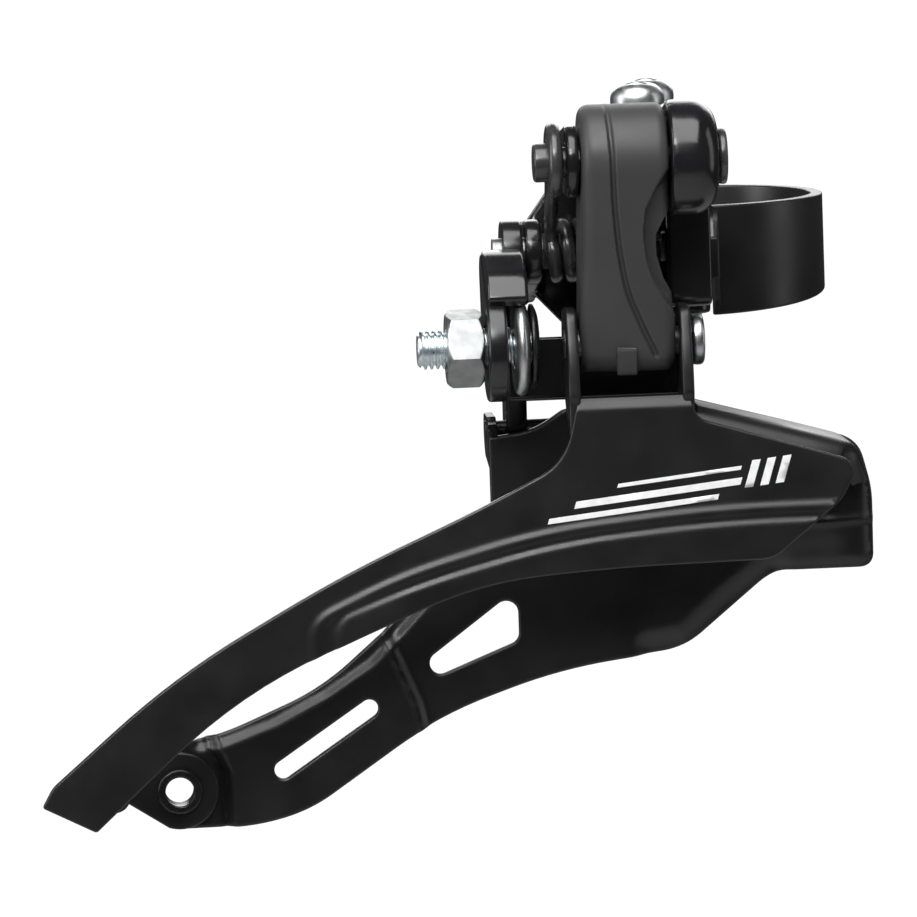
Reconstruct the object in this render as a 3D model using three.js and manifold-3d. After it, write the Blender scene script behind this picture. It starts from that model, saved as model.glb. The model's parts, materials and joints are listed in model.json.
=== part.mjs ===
// Front derailleur for a 34.9 mm seat tube, in millimetres.
// The origin is on the seat-tube axis at mid-height of the clamp.
// +X points to the front of the bicycle, +Y inboard to the frame, +Z up the seat tube.
import * as THREE from 'three';
import { mergeVertices } from 'three/addons/utils/BufferGeometryUtils.js';
import Module from 'manifold-3d';

const wasm = await Module();
wasm.setup();

// ---------------------------------------------------------------- driving dimensions

const TUBE_RADIUS = 17.45;
const CLAMP_INNER = TUBE_RADIUS + 0.15;
const CRADLE_OUTER = 20.2;
const BAND_OUTER = 19.2;
const CLAMP_HALF_HEIGHT = 6.9;

// The four pivots of the parallelogram linkage, as [Y, Z]; all their axes run along X.
const LINK_RUN = [3.3, -23.6];
const PIVOT_A = [-41.0, 14.7];
const PIVOT_B = [PIVOT_A[0] + LINK_RUN[0], PIVOT_A[1] + LINK_RUN[1]];
const PIVOT_C = [-28.2, 2.4];
const PIVOT_D = [PIVOT_C[0] + LINK_RUN[0], PIVOT_C[1] + LINK_RUN[1]];

const PIN_RADIUS = 1.9;
const RUN_CLEARANCE = 0.08;
const STATIC_GAP = 0.3;

const SHEET = 1.2;
const EAR_SHEET = 1.5;
const OUTER_PLATE_Y = -43.2;
const INNER_PLATE_Y = -30.5;
const TAIL_RIVET = [-69.9, -65.3];

// Cable anchor bolt: its axis runs along X through this [Y, Z].
const ANCHOR = [-38.0, -8.9];
const M5_RADIUS = 2.5;
const M4_RADIUS = 2.0;

// Vertical hinge pin of the clamp band, and the middle of its closing bolt, as [X, Y].
const BAND_HINGE = [-0.9, -22.2];
const KNUCKLE_RADIUS = 2.7;
const KNUCKLE_CLEAR = 0.4;
const CLAMP_BOLT = [-2.6, 24.4];
const BOLT_TILT = Math.atan2(BAND_HINGE[0] - CLAMP_BOLT[0], CLAMP_BOLT[1] - BAND_HINGE[1]);

// Axes of the two limit screws, as [X, Y].
const LIMIT_SCREWS = { high: [-7.7, -31.0], low: [-5.8, -23.6] };
// Height of the stop faces over pivot C, and the gap that the limit screws' tips keep to them.
const STOP_HEIGHT = 5.2;
const STOP_GAP = 0.45;
const LINK_SWING = THREE.MathUtils.degToRad(42);
const SCREW_BLOCK_TOP = 19.8;

const ROUND_SIDES = 24;
const CORNER_STEPS = 4;

// ---------------------------------------------------------------- finishes

const FINISH = {
  paint: { color: 0x141517, roughness: 0.34, metalness: 0.35 },
  resin: { color: 0x4b4c4e, roughness: 0.55, metalness: 0.0 },
  zinc: { color: 0xc3c6c8, roughness: 0.32, metalness: 1.0 },
  pin: { color: 0x8f9294, roughness: 0.35, metalness: 1.0 },
  springSteel: { color: 0x1b1c1e, roughness: 0.3, metalness: 0.7 },
  blackOxide: { color: 0x1f2022, roughness: 0.4, metalness: 0.6 },
  nylon: { color: 0x26272a, roughness: 0.6, metalness: 0.0 },
};

// ---------------------------------------------------------------- solids

function solidOf(geometry) {
  const bare = geometry.clone();
  bare.deleteAttribute('normal');
  bare.deleteAttribute('uv');
  const merged = mergeVertices(bare, 1e-5);
  const vertProperties = new Float32Array(merged.attributes.position.array);
  const corners = merged.index.array;
  const kept = [];
  for (let i = 0; i < corners.length; i += 3) {
    const [a, b, c] = corners.slice(i, i + 3);
    if (a !== b && b !== c && c !== a) {
      kept.push(a, b, c);
    }
  }
  const triVerts = new Uint32Array(kept);
  return new wasm.Manifold(new wasm.Mesh({ numProp: 3, vertProperties, triVerts }));
}

function geometryOf(solid) {
  const mesh = solid.getMesh();
  const geometry = new THREE.BufferGeometry();
  geometry.setAttribute('position', new THREE.BufferAttribute(mesh.vertProperties, 3));
  geometry.setIndex(new THREE.BufferAttribute(mesh.triVerts, 1));
  geometry.computeVertexNormals();
  return geometry;
}

function join(...solids) {
  return solids.reduce((whole, next) => whole.add(next));
}

function cut(solid, ...tools) {
  return tools.reduce((left, tool) => left.subtract(tool), solid);
}

// ---------------------------------------------------------------- outlines

// Each corner is [u, v, blend]: the outline turns it in a curve that starts "blend" away.
function outline(corners) {
  const vector = (i) => {
    const [u, v] = corners[(i + corners.length) % corners.length];
    return new THREE.Vector2(u, v);
  };
  const points = corners.flatMap((corner, i) => {
    const here = vector(i);
    const toBefore = vector(i - 1).sub(here);
    const toAfter = vector(i + 1).sub(here);
    const blend = Math.min(corner[2] ?? 0, toBefore.length() * 0.49, toAfter.length() * 0.49);
    if (blend === 0) {
      return [here];
    }
    const start = here.clone().add(toBefore.setLength(blend));
    const end = here.clone().add(toAfter.setLength(blend));
    return new THREE.QuadraticBezierCurve(start, here, end).getPoints(CORNER_STEPS);
  });
  return new THREE.Shape(points);
}

function disc(centre, radius) {
  return new THREE.Shape().absarc(centre[0], centre[1], radius, 0, Math.PI * 2, false);
}

// Two round ends joined by their common tangents.
function dogbone(first, firstRadius, second, secondRadius) {
  const du = second[0] - first[0];
  const dv = second[1] - first[1];
  const heading = Math.atan2(dv, du);
  const spread = Math.acos((firstRadius - secondRadius) / Math.hypot(du, dv));
  const shape = new THREE.Shape();
  shape.absarc(first[0], first[1], firstRadius, heading + spread, heading - spread + Math.PI * 2, false);
  shape.absarc(second[0], second[1], secondRadius, heading - spread, heading + spread, false);
  shape.closePath();
  return shape;
}

// ---------------------------------------------------------------- extrusions

function extrude(shape, depth) {
  return new THREE.ExtrudeGeometry(shape, {
    depth,
    bevelEnabled: false,
    curveSegments: CORNER_STEPS,
  });
}

function extrudeRound(shape, depth) {
  return new THREE.ExtrudeGeometry(shape, {
    depth,
    bevelEnabled: false,
    curveSegments: ROUND_SIDES / 2,
  });
}

// A shape drawn in X and Z, given thickness from y0 to y1.
function alongY(shape, y0, y1, round = false) {
  const geometry = round ? extrudeRound(shape, y1 - y0) : extrude(shape, y1 - y0);
  return solidOf(geometry.rotateX(Math.PI / 2).translate(0, y1, 0));
}

// A shape drawn in Y and Z, given thickness from x0 to x1.
function alongX(shape, x0, x1, round = false) {
  const geometry = round ? extrudeRound(shape, x1 - x0) : extrude(shape, x1 - x0);
  const turn = new THREE.Matrix4().makeBasis(
    new THREE.Vector3(0, 1, 0),
    new THREE.Vector3(0, 0, 1),
    new THREE.Vector3(1, 0, 0),
  );
  return solidOf(geometry.applyMatrix4(turn).translate(x0, 0, 0));
}

// A shape drawn in X and Y, given height from z0 to z1.
function alongZ(shape, z0, z1, round = false) {
  const geometry = round ? extrudeRound(shape, z1 - z0) : extrude(shape, z1 - z0);
  return solidOf(geometry.translate(0, 0, z0));
}

function block(x0, x1, y0, y1, z0, z1) {
  const geometry = new THREE.BoxGeometry(x1 - x0, y1 - y0, z1 - z0);
  return solidOf(geometry.translate((x0 + x1) / 2, (y0 + y1) / 2, (z0 + z1) / 2));
}

function rodX(centre, radius, x0, x1) {
  return alongX(disc(centre, radius), x0, x1, true);
}

function rodZ(centre, radius, z0, z1) {
  return alongZ(disc(centre, radius), z0, z1, true);
}

function ringSector(inner, outer, fromDegrees, toDegrees, z0, z1) {
  const from = THREE.MathUtils.degToRad(fromDegrees);
  const to = THREE.MathUtils.degToRad(toDegrees);
  const shape = new THREE.Shape();
  shape.absarc(0, 0, outer, from, to, false);
  shape.absarc(0, 0, inner, to, from, true);
  shape.closePath();
  return alongZ(shape, z0, z1, true);
}

// A turned piece whose [radius, height] profile closes on itself, standing on the Y axis.
function turned(profile) {
  const points = [...profile, profile[0]].map(([radius, height]) => new THREE.Vector2(radius, height));
  return new THREE.LatheGeometry(points, ROUND_SIDES);
}

// Wire of round section along a list of points.
function wire(points, radius, steps) {
  const path = new THREE.CatmullRomCurve3(points.map((p) => new THREE.Vector3(...p)));
  const section = new THREE.Shape().absarc(0, 0, radius, 0, Math.PI * 2, false);
  return new THREE.ExtrudeGeometry(section, { steps, extrudePath: path, curveSegments: 4 });
}

// ---------------------------------------------------------------- fixed bracket

const LEFT_EAR_X = [-18.2, -16.6];
const RIGHT_HUB_X = [-5.1, 1.3];
const C_LUG_X = [-22.8, -20.6];
const BLOCK_FRONT_Y = -34.1;

function bracketUpper() {
  const ear = alongX(dogbone(PIVOT_A, 4.7, [-31.0, 15.2], 4.6), ...LEFT_EAR_X, true);
  const hub = join(
    alongX(dogbone(PIVOT_A, 7.4, [-30.0, 14.6], 5.2), ...RIGHT_HUB_X, true),
    alongX(outline([[-33.2, 13], [-33.2, -5.2, 1.5], [-25.4, -5.2], [-25.4, 13]]), -4.8, 1.1),
  );
  const screwBlock = join(
    block(-18.2, 1.3, BLOCK_FRONT_Y, -27.5, 9.6, 18.6),
    block(-11.6, -2.8, BLOCK_FRONT_Y, -19.6, 9.6, SCREW_BLOCK_TOP),
  );
  return join(ear, hub, screwBlock);
}

function bracketNeck() {
  const walls = join(
    block(-15.0, -10.0, -22.6, -18.0, -5.0, 11.0),
    block(-4.8, 0.4, -26.4, -18.6, 3.4, CLAMP_HALF_HEIGHT),
    block(-4.8, -3.3, -26.4, -18.6, 3.4, 11.0),
  );
  const shoulder = alongY(
    outline([
      [-22.8, -2.0],
      [-22.8, 4.6, 1.5],
      [-18.2, 11.0, 1.5],
      [-14.0, 11.0],
      [-14.0, -7.6],
      [-17.6, -7.6],
    ]),
    -23.4,
    -20.4,
  );
  return join(walls, shoulder);
}

function bracketLug() {
  const arm = outline([
    [-28.2, -1.8],
    [-28.2, 6.6],
    [-18.0, 4.6],
    [4.0, 4.0],
    [4.0, -5.5, 3],
    [-16.0, -5.5, 4],
  ]);
  return join(
    rodX(PIVOT_C, 4.2, ...C_LUG_X),
    alongX(arm, ...C_LUG_X),
    block(-21.6, -18.9, -5.0, 4.0, -5.5, 4.0),
  );
}

function clampFrame(solid) {
  const turn = new THREE.Matrix4()
    .makeTranslation(CLAMP_BOLT[0], CLAMP_BOLT[1], 0)
    .multiply(new THREE.Matrix4().makeRotationZ(BOLT_TILT));
  return solidOf(geometryOf(solid).applyMatrix4(turn));
}

const CLAMP_SLIT = [-2.2, 0.8];
const LUG_THICKNESS = 4.2;

function lug(x0, x1, holeRadius) {
  const body = outline([[-6.0, -5.3], [5.0, -5.3, 4], [5.0, 4.3, 4], [-6.0, 4.3]]);
  return clampFrame(cut(alongX(body, x0, x1), rodX([0, -0.5], holeRadius, x0 - 1, x1 + 1)));
}

function clampCradle() {
  const cradle = ringSector(CLAMP_INNER, CRADLE_OUTER, 104, 270, -5.5, 4.0);
  const nearWall = ringSector(CLAMP_INNER, CRADLE_OUTER, 222, 270, -CLAMP_HALF_HEIGHT, CLAMP_HALF_HEIGHT);
  const knuckleFront = BAND_HINGE[1] - KNUCKLE_RADIUS;
  const knuckles = join(
    rodZ(BAND_HINGE, KNUCKLE_RADIUS, -CLAMP_HALF_HEIGHT, CLAMP_HALF_HEIGHT),
    block(-4.8, BAND_HINGE[0], knuckleFront, -18.6, -CLAMP_HALF_HEIGHT, CLAMP_HALF_HEIGHT),
  );
  const fixedLug = lug(CLAMP_SLIT[0] - LUG_THICKNESS, CLAMP_SLIT[0], M5_RADIUS + 0.6);
  const tube = rodZ([0, 0], CLAMP_INNER, -20, 20);
  return cut(join(cradle, nearWall, knuckles, fixedLug), tube);
}

function mainBracket() {
  const whole = join(bracketUpper(), bracketNeck(), bracketLug(), clampCradle());
  const clearRadius = KNUCKLE_RADIUS + KNUCKLE_CLEAR;
  const knuckleGap = join(
    rodZ(BAND_HINGE, clearRadius, -3.0, 3.0),
    block(BAND_HINGE[0], 12, BAND_HINGE[1] - clearRadius, -17, -3.0, 3.0),
  );
  const bores = [
    knuckleGap,
    rodX(PIVOT_A, PIN_RADIUS + RUN_CLEARANCE, -19, 3),
    rodX(PIVOT_C, PIN_RADIUS + RUN_CLEARANCE, -24, 0.5),
    rodZ(BAND_HINGE, 1.5 + RUN_CLEARANCE, -8, 8),
    ...Object.values(LIMIT_SCREWS).map((centre) => rodZ(centre, M4_RADIUS + RUN_CLEARANCE, 8, 22)),
  ];
  return cut(whole, ...bores);
}

// ---------------------------------------------------------------- clamp band

function clampBand() {
  const band = ringSector(CLAMP_INNER, BAND_OUTER, -81.7, 84, -8.0, 8.0);
  const taper = alongX(
    outline([[-30, -8.0], [-19, -7.6], [0, -5.8], [22, -5.2], [22, 6.9], [-30, 6.7]]),
    0,
    30,
  );
  const knuckle = cut(
    join(
      rodZ(BAND_HINGE, KNUCKLE_RADIUS, -2.7, 2.7),
      block(BAND_HINGE[0], 3.4, -20.5, -17.0, -2.7, 2.7),
    ),
    rodZ([0, 0], CLAMP_INNER, -9, 9),
    rodZ(BAND_HINGE, 1.5 + RUN_CLEARANCE, -9, 9),
  );
  const movingLug = lug(CLAMP_SLIT[1], CLAMP_SLIT[1] + LUG_THICKNESS, M5_RADIUS + STATIC_GAP);
  const tube = rodZ([0, 0], CLAMP_INNER, -20, 20);
  return cut(join(band.intersect(taper), knuckle, movingLug), tube);
}

const BOLT_SEAT = CLAMP_SLIT[1] + LUG_THICKNESS;

function clampBoltWasher() {
  const ring = rodX([0, -0.5], 4.6, BOLT_SEAT + 0.1, BOLT_SEAT + 1.1);
  return clampFrame(cut(ring, rodX([0, -0.5], M5_RADIUS + STATIC_GAP, BOLT_SEAT - 1, BOLT_SEAT + 2)));
}

function clampBolt() {
  const headStart = BOLT_SEAT + 1.2;
  const socket = new THREE.CylinderGeometry(2.3, 2.3, 4, 6).rotateZ(Math.PI / 2);
  const solid = join(
    rodX([0, -0.5], 4.2, headStart, headStart + 5.0),
    rodX([0, -0.5], M5_RADIUS, CLAMP_SLIT[0] - LUG_THICKNESS - 1.6, headStart + 0.1),
  );
  return clampFrame(cut(solid, solidOf(socket.translate(headStart + 5, 0, -0.5))));
}

function bandHingePin() {
  return join(
    rodZ(BAND_HINGE, 1.5, -7.6, 7.2),
    rodZ(BAND_HINGE, 2.2, 7.1, 7.9),
  );
}

// ---------------------------------------------------------------- pivot pins

function upperOuterPin() {
  return join(
    rodX(PIVOT_A, PIN_RADIUS, -18.5, 1.6),
    rodX(PIVOT_A, 2.5, -22.2, -18.4),
    rodX(PIVOT_A, 3.6, 1.4, 2.5),
  );
}

function lowerOuterPin() {
  return join(
    rodX(PIVOT_B, PIN_RADIUS, -19.0, -2.4),
    rodX(PIVOT_B, 3.3, -2.5, -0.8),
  );
}

function upperInnerPin() {
  return rodX(PIVOT_C, PIN_RADIUS, -27.0, 0.2);
}

function lowerInnerPin() {
  return join(
    rodX(PIVOT_D, 1.6, -28.5, -3.2),
    rodX(PIVOT_D, 2.6, -3.4, -2.6),
  );
}

// ---------------------------------------------------------------- outer link

const OUTER_LINK_X = [-16.1, -5.4];

function outerLink() {
  const profile = dogbone([PIVOT_A[0] - 0.7, PIVOT_A[1] + 0.3], 6.9, PIVOT_B, 3.8);
  const body = alongX(profile, OUTER_LINK_X[0], OUTER_LINK_X[1], true);
  const foot = alongX(dogbone([-38.6, -5.0], 4.1, PIVOT_B, 3.8), -16.8, -4.6, true);
  const scoop = alongY(disc([11.0, 4.4], 19.0), -50, -43.0, true);
  const pocket = block(-13.6, -8.0, -40.5, -30, -3.6, 8.0);
  const relief = block(-10.0, -4.5, -37.0, -30, -0.4, 8.0);
  const nub = block(-12.2, -9.6, -42.2, -39.6, -13.2, -9.0);
  const bores = [PIVOT_A, PIVOT_B].map((pivot) => rodX(pivot, PIN_RADIUS + RUN_CLEARANCE, -20, 0));
  return cut(join(cut(body, scoop), foot, nub), pocket, relief, ...bores);
}

// ---------------------------------------------------------------- inner link and cable lever

const INNER_ARM_LEFT_X = [-25.8, -23.1];
const INNER_ARM_RIGHT_X = [-9.0, -5.4];
const INNER_WEB_END_X = -3.0;

// Two stop faces on top of the right arm. The inboard one is level at rest, under the low
// limit screw. The outboard one comes level after a full swing, under the high limit screw.
function stopHead() {
  const swung = (y, z) => [
    PIVOT_C[0] + y * Math.cos(LINK_SWING) - z * Math.sin(LINK_SWING),
    PIVOT_C[1] + y * Math.sin(LINK_SWING) + z * Math.cos(LINK_SWING),
  ];
  return outline([
    swung(-3.6, STOP_HEIGHT),
    swung(2.0, STOP_HEIGHT),
    [PIVOT_C[0] + 5.4, PIVOT_C[1] + STOP_HEIGHT],
    [PIVOT_C[0] + 3.6, PIVOT_C[1] - 2.0],
    [PIVOT_C[0] - 3.8, PIVOT_C[1] - 1.6],
  ]);
}

function innerLink() {
  const arm = dogbone(PIVOT_C, 4.2, PIVOT_D, 3.6);
  const web = alongX(
    outline([[-31.0, -9.0], [-29.4, -9.0], [-28.0, -16.8], [-30.4, -16.8, 1]]),
    INNER_ARM_LEFT_X[0],
    INNER_WEB_END_X,
  );
  const solid = join(
    alongX(arm, ...INNER_ARM_LEFT_X, true),
    alongX(arm, ...INNER_ARM_RIGHT_X, true),
    alongX(stopHead(), ...INNER_ARM_RIGHT_X),
    web,
  );
  return cut(
    solid,
    rodX(PIVOT_C, PIN_RADIUS + RUN_CLEARANCE, -30, 0),
    rodX(PIVOT_D, 1.6 + RUN_CLEARANCE, -30, 0),
  );
}

const LEVER_X = [-28.8, -26.3];

function cableLever() {
  const plate = alongX(dogbone(ANCHOR, 7.0, [-32.8, -0.2], 3.0), ...LEVER_X, true);
  const flange = alongX(
    outline([
      [-42.0, -3.4],
      [-42.6, -2.5, 0.4],
      [-35.3, 2.8, 1],
      [-33.2, 3.2, 0.5],
      [-33.4, 1.9],
      [-34.7, 1.9],
    ]),
    LEVER_X[0] + 0.2,
    -23.4,
  );
  return cut(join(plate, flange), rodX(ANCHOR, M5_RADIUS + STATIC_GAP, -30, -20));
}

function cableAnchorBolt() {
  return join(
    rodX(ANCHOR, M5_RADIUS, -37.6, -23.0),
    rodX(ANCHOR, 5.4, -23.1, -22.1),
  );
}

function cableAnchorWasher() {
  return cut(
    rodX(ANCHOR, 6.45, -24.8, -23.4),
    rodX(ANCHOR, M5_RADIUS + STATIC_GAP, -26, -22),
  );
}

function cableAnchorNut() {
  const prism = new THREE.CylinderGeometry(5.2, 5.2, 4.7, 6).rotateZ(Math.PI / 2);
  prism.rotateX(THREE.MathUtils.degToRad(10)).translate(-31.55, ANCHOR[0], ANCHOR[1]);
  return cut(solidOf(prism), rodX(ANCHOR, M5_RADIUS + RUN_CLEARANCE, -35, -28));
}

// ---------------------------------------------------------------- return spring

const WIRE_RADIUS = 0.9;
const COIL_RADIUS = 3.35;
const COIL_START_X = -19.3;
const COIL_PITCH = 2.0;
const COIL_TURNS = 3;
const HOOK_RADIUS = 4.2;
const HOOK_X = -19.6;

// A point on the coil: the turn angle is measured from +Y towards +Z about pivot C.
function coilPoint(x, degrees) {
  const angle = THREE.MathUtils.degToRad(degrees);
  return [
    x,
    PIVOT_C[0] + COIL_RADIUS * Math.cos(angle),
    PIVOT_C[1] + COIL_RADIUS * Math.sin(angle),
  ];
}

const COIL_FROM = 150;
const COIL_TO = COIL_FROM + 360 * COIL_TURNS;

function returnSpring() {
  const points = [];
  for (let degrees = 240; degrees >= -30; degrees -= 30) {
    const angle = THREE.MathUtils.degToRad(degrees);
    points.push([
      HOOK_X,
      PIVOT_A[0] + HOOK_RADIUS * Math.cos(angle),
      PIVOT_A[1] + HOOK_RADIUS * Math.sin(angle),
    ]);
  }
  points.push([HOOK_X, -35.0, 8.0]);
  for (let degrees = COIL_FROM; degrees <= COIL_TO; degrees += 30) {
    const x = COIL_START_X + COIL_PITCH * ((degrees - COIL_FROM) / 360);
    points.push(coilPoint(x, degrees));
  }
  return solidOf(wire(points, WIRE_RADIUS, 100));
}

// The working end turns with the inner link, so it starts one link swing past the coil's end.
const TAIL_START = 46;

function returnSpringTail() {
  const x = COIL_START_X + COIL_PITCH * (COIL_TURNS + TAIL_START / 360);
  const points = [
    coilPoint(x, COIL_FROM + TAIL_START),
    [x, -31.3, -1.2],
    [x - 0.2, -31.9, -5.0],
    [x - 0.5, -32.4, -8.6],
    [x - 0.6, -32.4, -12.6],
  ];
  return solidOf(wire(points, WIRE_RADIUS, 14));
}

function springBush() {
  return cut(
    rodX(PIVOT_C, 2.3, -20.4, -10.4),
    rodX(PIVOT_C, PIN_RADIUS + 0.05, -21, -10),
  );
}

// ---------------------------------------------------------------- limit screws

function limitScrew(centre) {
  const head = turned([
    [0.0, SCREW_BLOCK_TOP + 4.2],
    [0.0, SCREW_BLOCK_TOP + 1.3],
    [3.5, SCREW_BLOCK_TOP + 1.3],
    [3.5, SCREW_BLOCK_TOP + 2.9],
    [2.6, SCREW_BLOCK_TOP + 4.0],
  ]);
  const placed = head.rotateX(Math.PI / 2).translate(...centre, 0);
  const cross = join(
    block(-0.5, 0.5, -2, 2, 22.6, 26).translate(...centre, 0),
    block(-2, 2, -0.5, 0.5, 22.6, 26).translate(...centre, 0),
  );
  const tip = PIVOT_C[1] + STOP_HEIGHT + STOP_GAP;
  const shank = rodZ(centre, M4_RADIUS, tip, SCREW_BLOCK_TOP + 1.5);
  return cut(join(solidOf(placed), shank), cross);
}

// ---------------------------------------------------------------- cage

function pivotEar(pivot, radius, corners, x0, x1) {
  return join(alongX(outline(corners), x0, x1), rodX(pivot, radius, x0, x1));
}

function outerFace() {
  return outline([
    [-17.1, -15.5, 0.6],
    [-3.5, -15.5, 0.6],
    [-2.4, -18.8, 1.2],
    [16.6, -24.6, 1],
    [17.8, -26.0, 1],
    [16.2, -29.6, 1],
    [6.6, -37.0, 1.5],
    [-14, -37.3, 8],
    [-31, -38.6, 8],
    [-62, -51.4, 10],
    [-81.0, -68.6, 0.4],
    [-87.8, -65.1, 0.4],
    [-86.4, -62.6, 0.8],
    [-70.2, -48.9, 12],
    [-48, -36.7, 10],
    [-31, -29.3, 6],
    [-19.6, -23.4, 4],
  ]);
}

function outerBand() {
  return outline([
    [14.5, -31.0, 0.5],
    [6.6, -37.0, 1.5],
    [-14, -37.3, 8],
    [-31, -38.6, 8],
    [-51.0, -46.2, 0.5],
    [-51.4, -43.0, 2],
    [-30, -34.8, 8],
    [-12, -31.6, 8],
  ]);
}

function tailReturn() {
  const wall = alongY(
    outline([[-87.8, -65.1], [-81.0, -68.6], [-80.4, -67.5], [-87.2, -64.0]]),
    OUTER_PLATE_Y,
    INNER_PLATE_Y - 0.3,
  );
  const tab = join(
    alongY(
      outline([[-87.0, -64.4], [-80.8, -68.3], [-77.0, -67.6, 1], [-71.6, -70.0], [-71.6, -60.6, 2]]),
      INNER_PLATE_Y - 0.3 - SHEET,
      INNER_PLATE_Y - 0.3,
    ),
    alongY(disc(TAIL_RIVET, 5.0), INNER_PLATE_Y - 0.3 - SHEET, INNER_PLATE_Y - 0.3, true),
  );
  return join(wall, tab);
}

function outerCagePlate() {
  const face = alongY(outerFace(), OUTER_PLATE_Y, OUTER_PLATE_Y + SHEET);
  const band = alongY(outerBand(), OUTER_PLATE_Y - 0.8, OUTER_PLATE_Y + 0.2);
  const earCorners = [
    [OUTER_PLATE_Y, -18.6],
    [OUTER_PLATE_Y, -4.3, 1.8],
    [PIVOT_B[0] + 3.2, -4.2, 2.5],
    [PIVOT_B[0] + 3.8, -12.5, 3],
    [OUTER_PLATE_Y + SHEET, -18.6],
  ];
  const leftEar = pivotEar(PIVOT_B, 4.7, earCorners, -18.7, -18.7 + EAR_SHEET);
  const leftRoot = block(-18.7, -16.6, OUTER_PLATE_Y, OUTER_PLATE_Y + SHEET, -21.4, -15.8);
  const rightEar = pivotEar(PIVOT_B, 4.7, earCorners, -4.1, -4.1 + EAR_SHEET);
  return cut(
    join(face, band, leftEar, leftRoot, rightEar, tailReturn()),
    rodX(PIVOT_B, PIN_RADIUS + RUN_CLEARANCE, -20, 0),
    alongY(disc(TAIL_RIVET, 2.4), -33, -30, true),
  );
}

function innerFace() {
  const wall = outline([
    [-2.0, -17.2, 0.5],
    [9.9, -20.5, 2],
    [19.6, -23.4, 2.5],
    [21.4, -30.0, 2],
    [21.3, -40.2, 1.5],
    [8.2, -40.2, 2],
    [-3.4, -49.6, 2],
    [-20.0, -51.8, 6],
    [-36.0, -57.0, 6],
    [-53.0, -68.6, 5],
    [-60.0, -70.4, 4],
    [-71.5, -70.6, 2.5],
    [-75.2, -65.5, 2.5],
    [-72.0, -59.8, 2.5],
    [-64.0, -58.3, 3],
    [-51.0, -52.7, 4],
    [-41.3, -44.6, 3],
    [-28.3, -31.0, 1],
    [-28.3, -21.2],
    [-22.6, -20.6, 2.5],
    [-18.6, -18.2, 0.5],
  ]);
  const window = outline([[-26.1, -42.4, 1.6], [-25.2, -48.6, 1.6], [-37.6, -51.9, 1.6]]);
  const slot = dogbone([-55.9, -63.4], 1.25, [-45.0, -55.6], 1.25);
  const back = INNER_PLATE_Y + SHEET;
  return cut(
    alongY(wall, INNER_PLATE_Y, back),
    alongY(window, INNER_PLATE_Y - 1, back + 1),
    alongY(slot, INNER_PLATE_Y - 1, back + 1, true),
    alongY(disc(TAIL_RIVET, 2.4), INNER_PLATE_Y - 1, back + 1, true),
  );
}

function noseHood() {
  return alongY(
    outline([
      [-1.9, -17.3],
      [9.9, -20.5, 2],
      [19.6, -23.4, 2.5],
      [20.5, -28.4],
      [19.3, -28.4],
      [18.6, -24.4, 2],
      [9.6, -21.8, 2],
      [-1.9, -18.6],
    ]),
    OUTER_PLATE_Y + SHEET + STATIC_GAP,
    INNER_PLATE_Y + SHEET,
  );
}

function innerCagePlate() {
  const earCorners = [
    [INNER_PLATE_Y, -30.0],
    [INNER_PLATE_Y, -18.8, 1],
    [PIVOT_D[0], PIVOT_D[1] + 3.8],
    [PIVOT_D[0] + 3.6, PIVOT_D[1] - 1, 2],
    [INNER_PLATE_Y + SHEET, -30.0],
  ];
  const leftEar = pivotEar(PIVOT_D, 3.8, earCorners, -28.3, -28.3 + SHEET);
  const rightEar = pivotEar(PIVOT_D, 3.8, earCorners, -5.0, -5.0 + SHEET);
  return cut(
    join(innerFace(), noseHood(), leftEar, rightEar),
    rodX(PIVOT_D, 1.6 + RUN_CLEARANCE, -30, 0),
  );
}

function tailRivet() {
  const front = INNER_PLATE_Y - 0.3 - SHEET;
  const back = INNER_PLATE_Y + SHEET;
  const profile = [
    [1.85, front - 0.8],
    [2.9, front - 0.8],
    [2.9, front - 0.1],
    [2.3, front - 0.1],
    [2.3, back + 0.1],
    [2.9, back + 0.1],
    [2.9, back + 0.7],
    [1.85, back + 0.7],
  ];
  return solidOf(turned(profile)).translate(TAIL_RIVET[0], 0, TAIL_RIVET[1]);
}

// ---------------------------------------------------------------- assembly

const PIECES = [
  ['main_bracket', mainBracket, 'paint'],
  ['clamp_band', clampBand, 'paint'],
  ['band_hinge_pin', bandHingePin, 'pin'],
  ['clamp_bolt', clampBolt, 'blackOxide'],
  ['clamp_bolt_washer', clampBoltWasher, 'zinc'],
  ['upper_outer_pin', upperOuterPin, 'pin'],
  ['lower_outer_pin', lowerOuterPin, 'pin'],
  ['upper_inner_pin', upperInnerPin, 'pin'],
  ['lower_inner_pin', lowerInnerPin, 'blackOxide'],
  ['outer_link', outerLink, 'resin'],
  ['inner_link', innerLink, 'paint'],
  ['cable_lever', cableLever, 'paint'],
  ['cable_anchor_bolt', cableAnchorBolt, 'zinc'],
  ['cable_anchor_washer', cableAnchorWasher, 'zinc'],
  ['cable_anchor_nut', cableAnchorNut, 'zinc'],
  ['return_spring', returnSpring, 'springSteel'],
  ['return_spring_tail', returnSpringTail, 'springSteel'],
  ['spring_bush', springBush, 'nylon'],
  ['low_limit_screw', () => limitScrew(LIMIT_SCREWS.low), 'zinc'],
  ['high_limit_screw', () => limitScrew(LIMIT_SCREWS.high), 'zinc'],
  ['outer_cage_plate', outerCagePlate, 'paint'],
  ['inner_cage_plate', innerCagePlate, 'paint'],
  ['tail_rivet', tailRivet, 'blackOxide'],
];

const derailleur = new THREE.Group();
for (const [name, build, finish] of PIECES) {
  const mesh = new THREE.Mesh(geometryOf(build()), new THREE.MeshStandardMaterial(FINISH[finish]));
  mesh.name = name;
  derailleur.add(mesh);
}

export default derailleur;
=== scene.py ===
import json
import math

import bmesh
import bpy
import numpy as np
from mathutils import Matrix, Vector
from mathutils.geometry import convex_hull_2d, delaunay_2d_cdt


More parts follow.
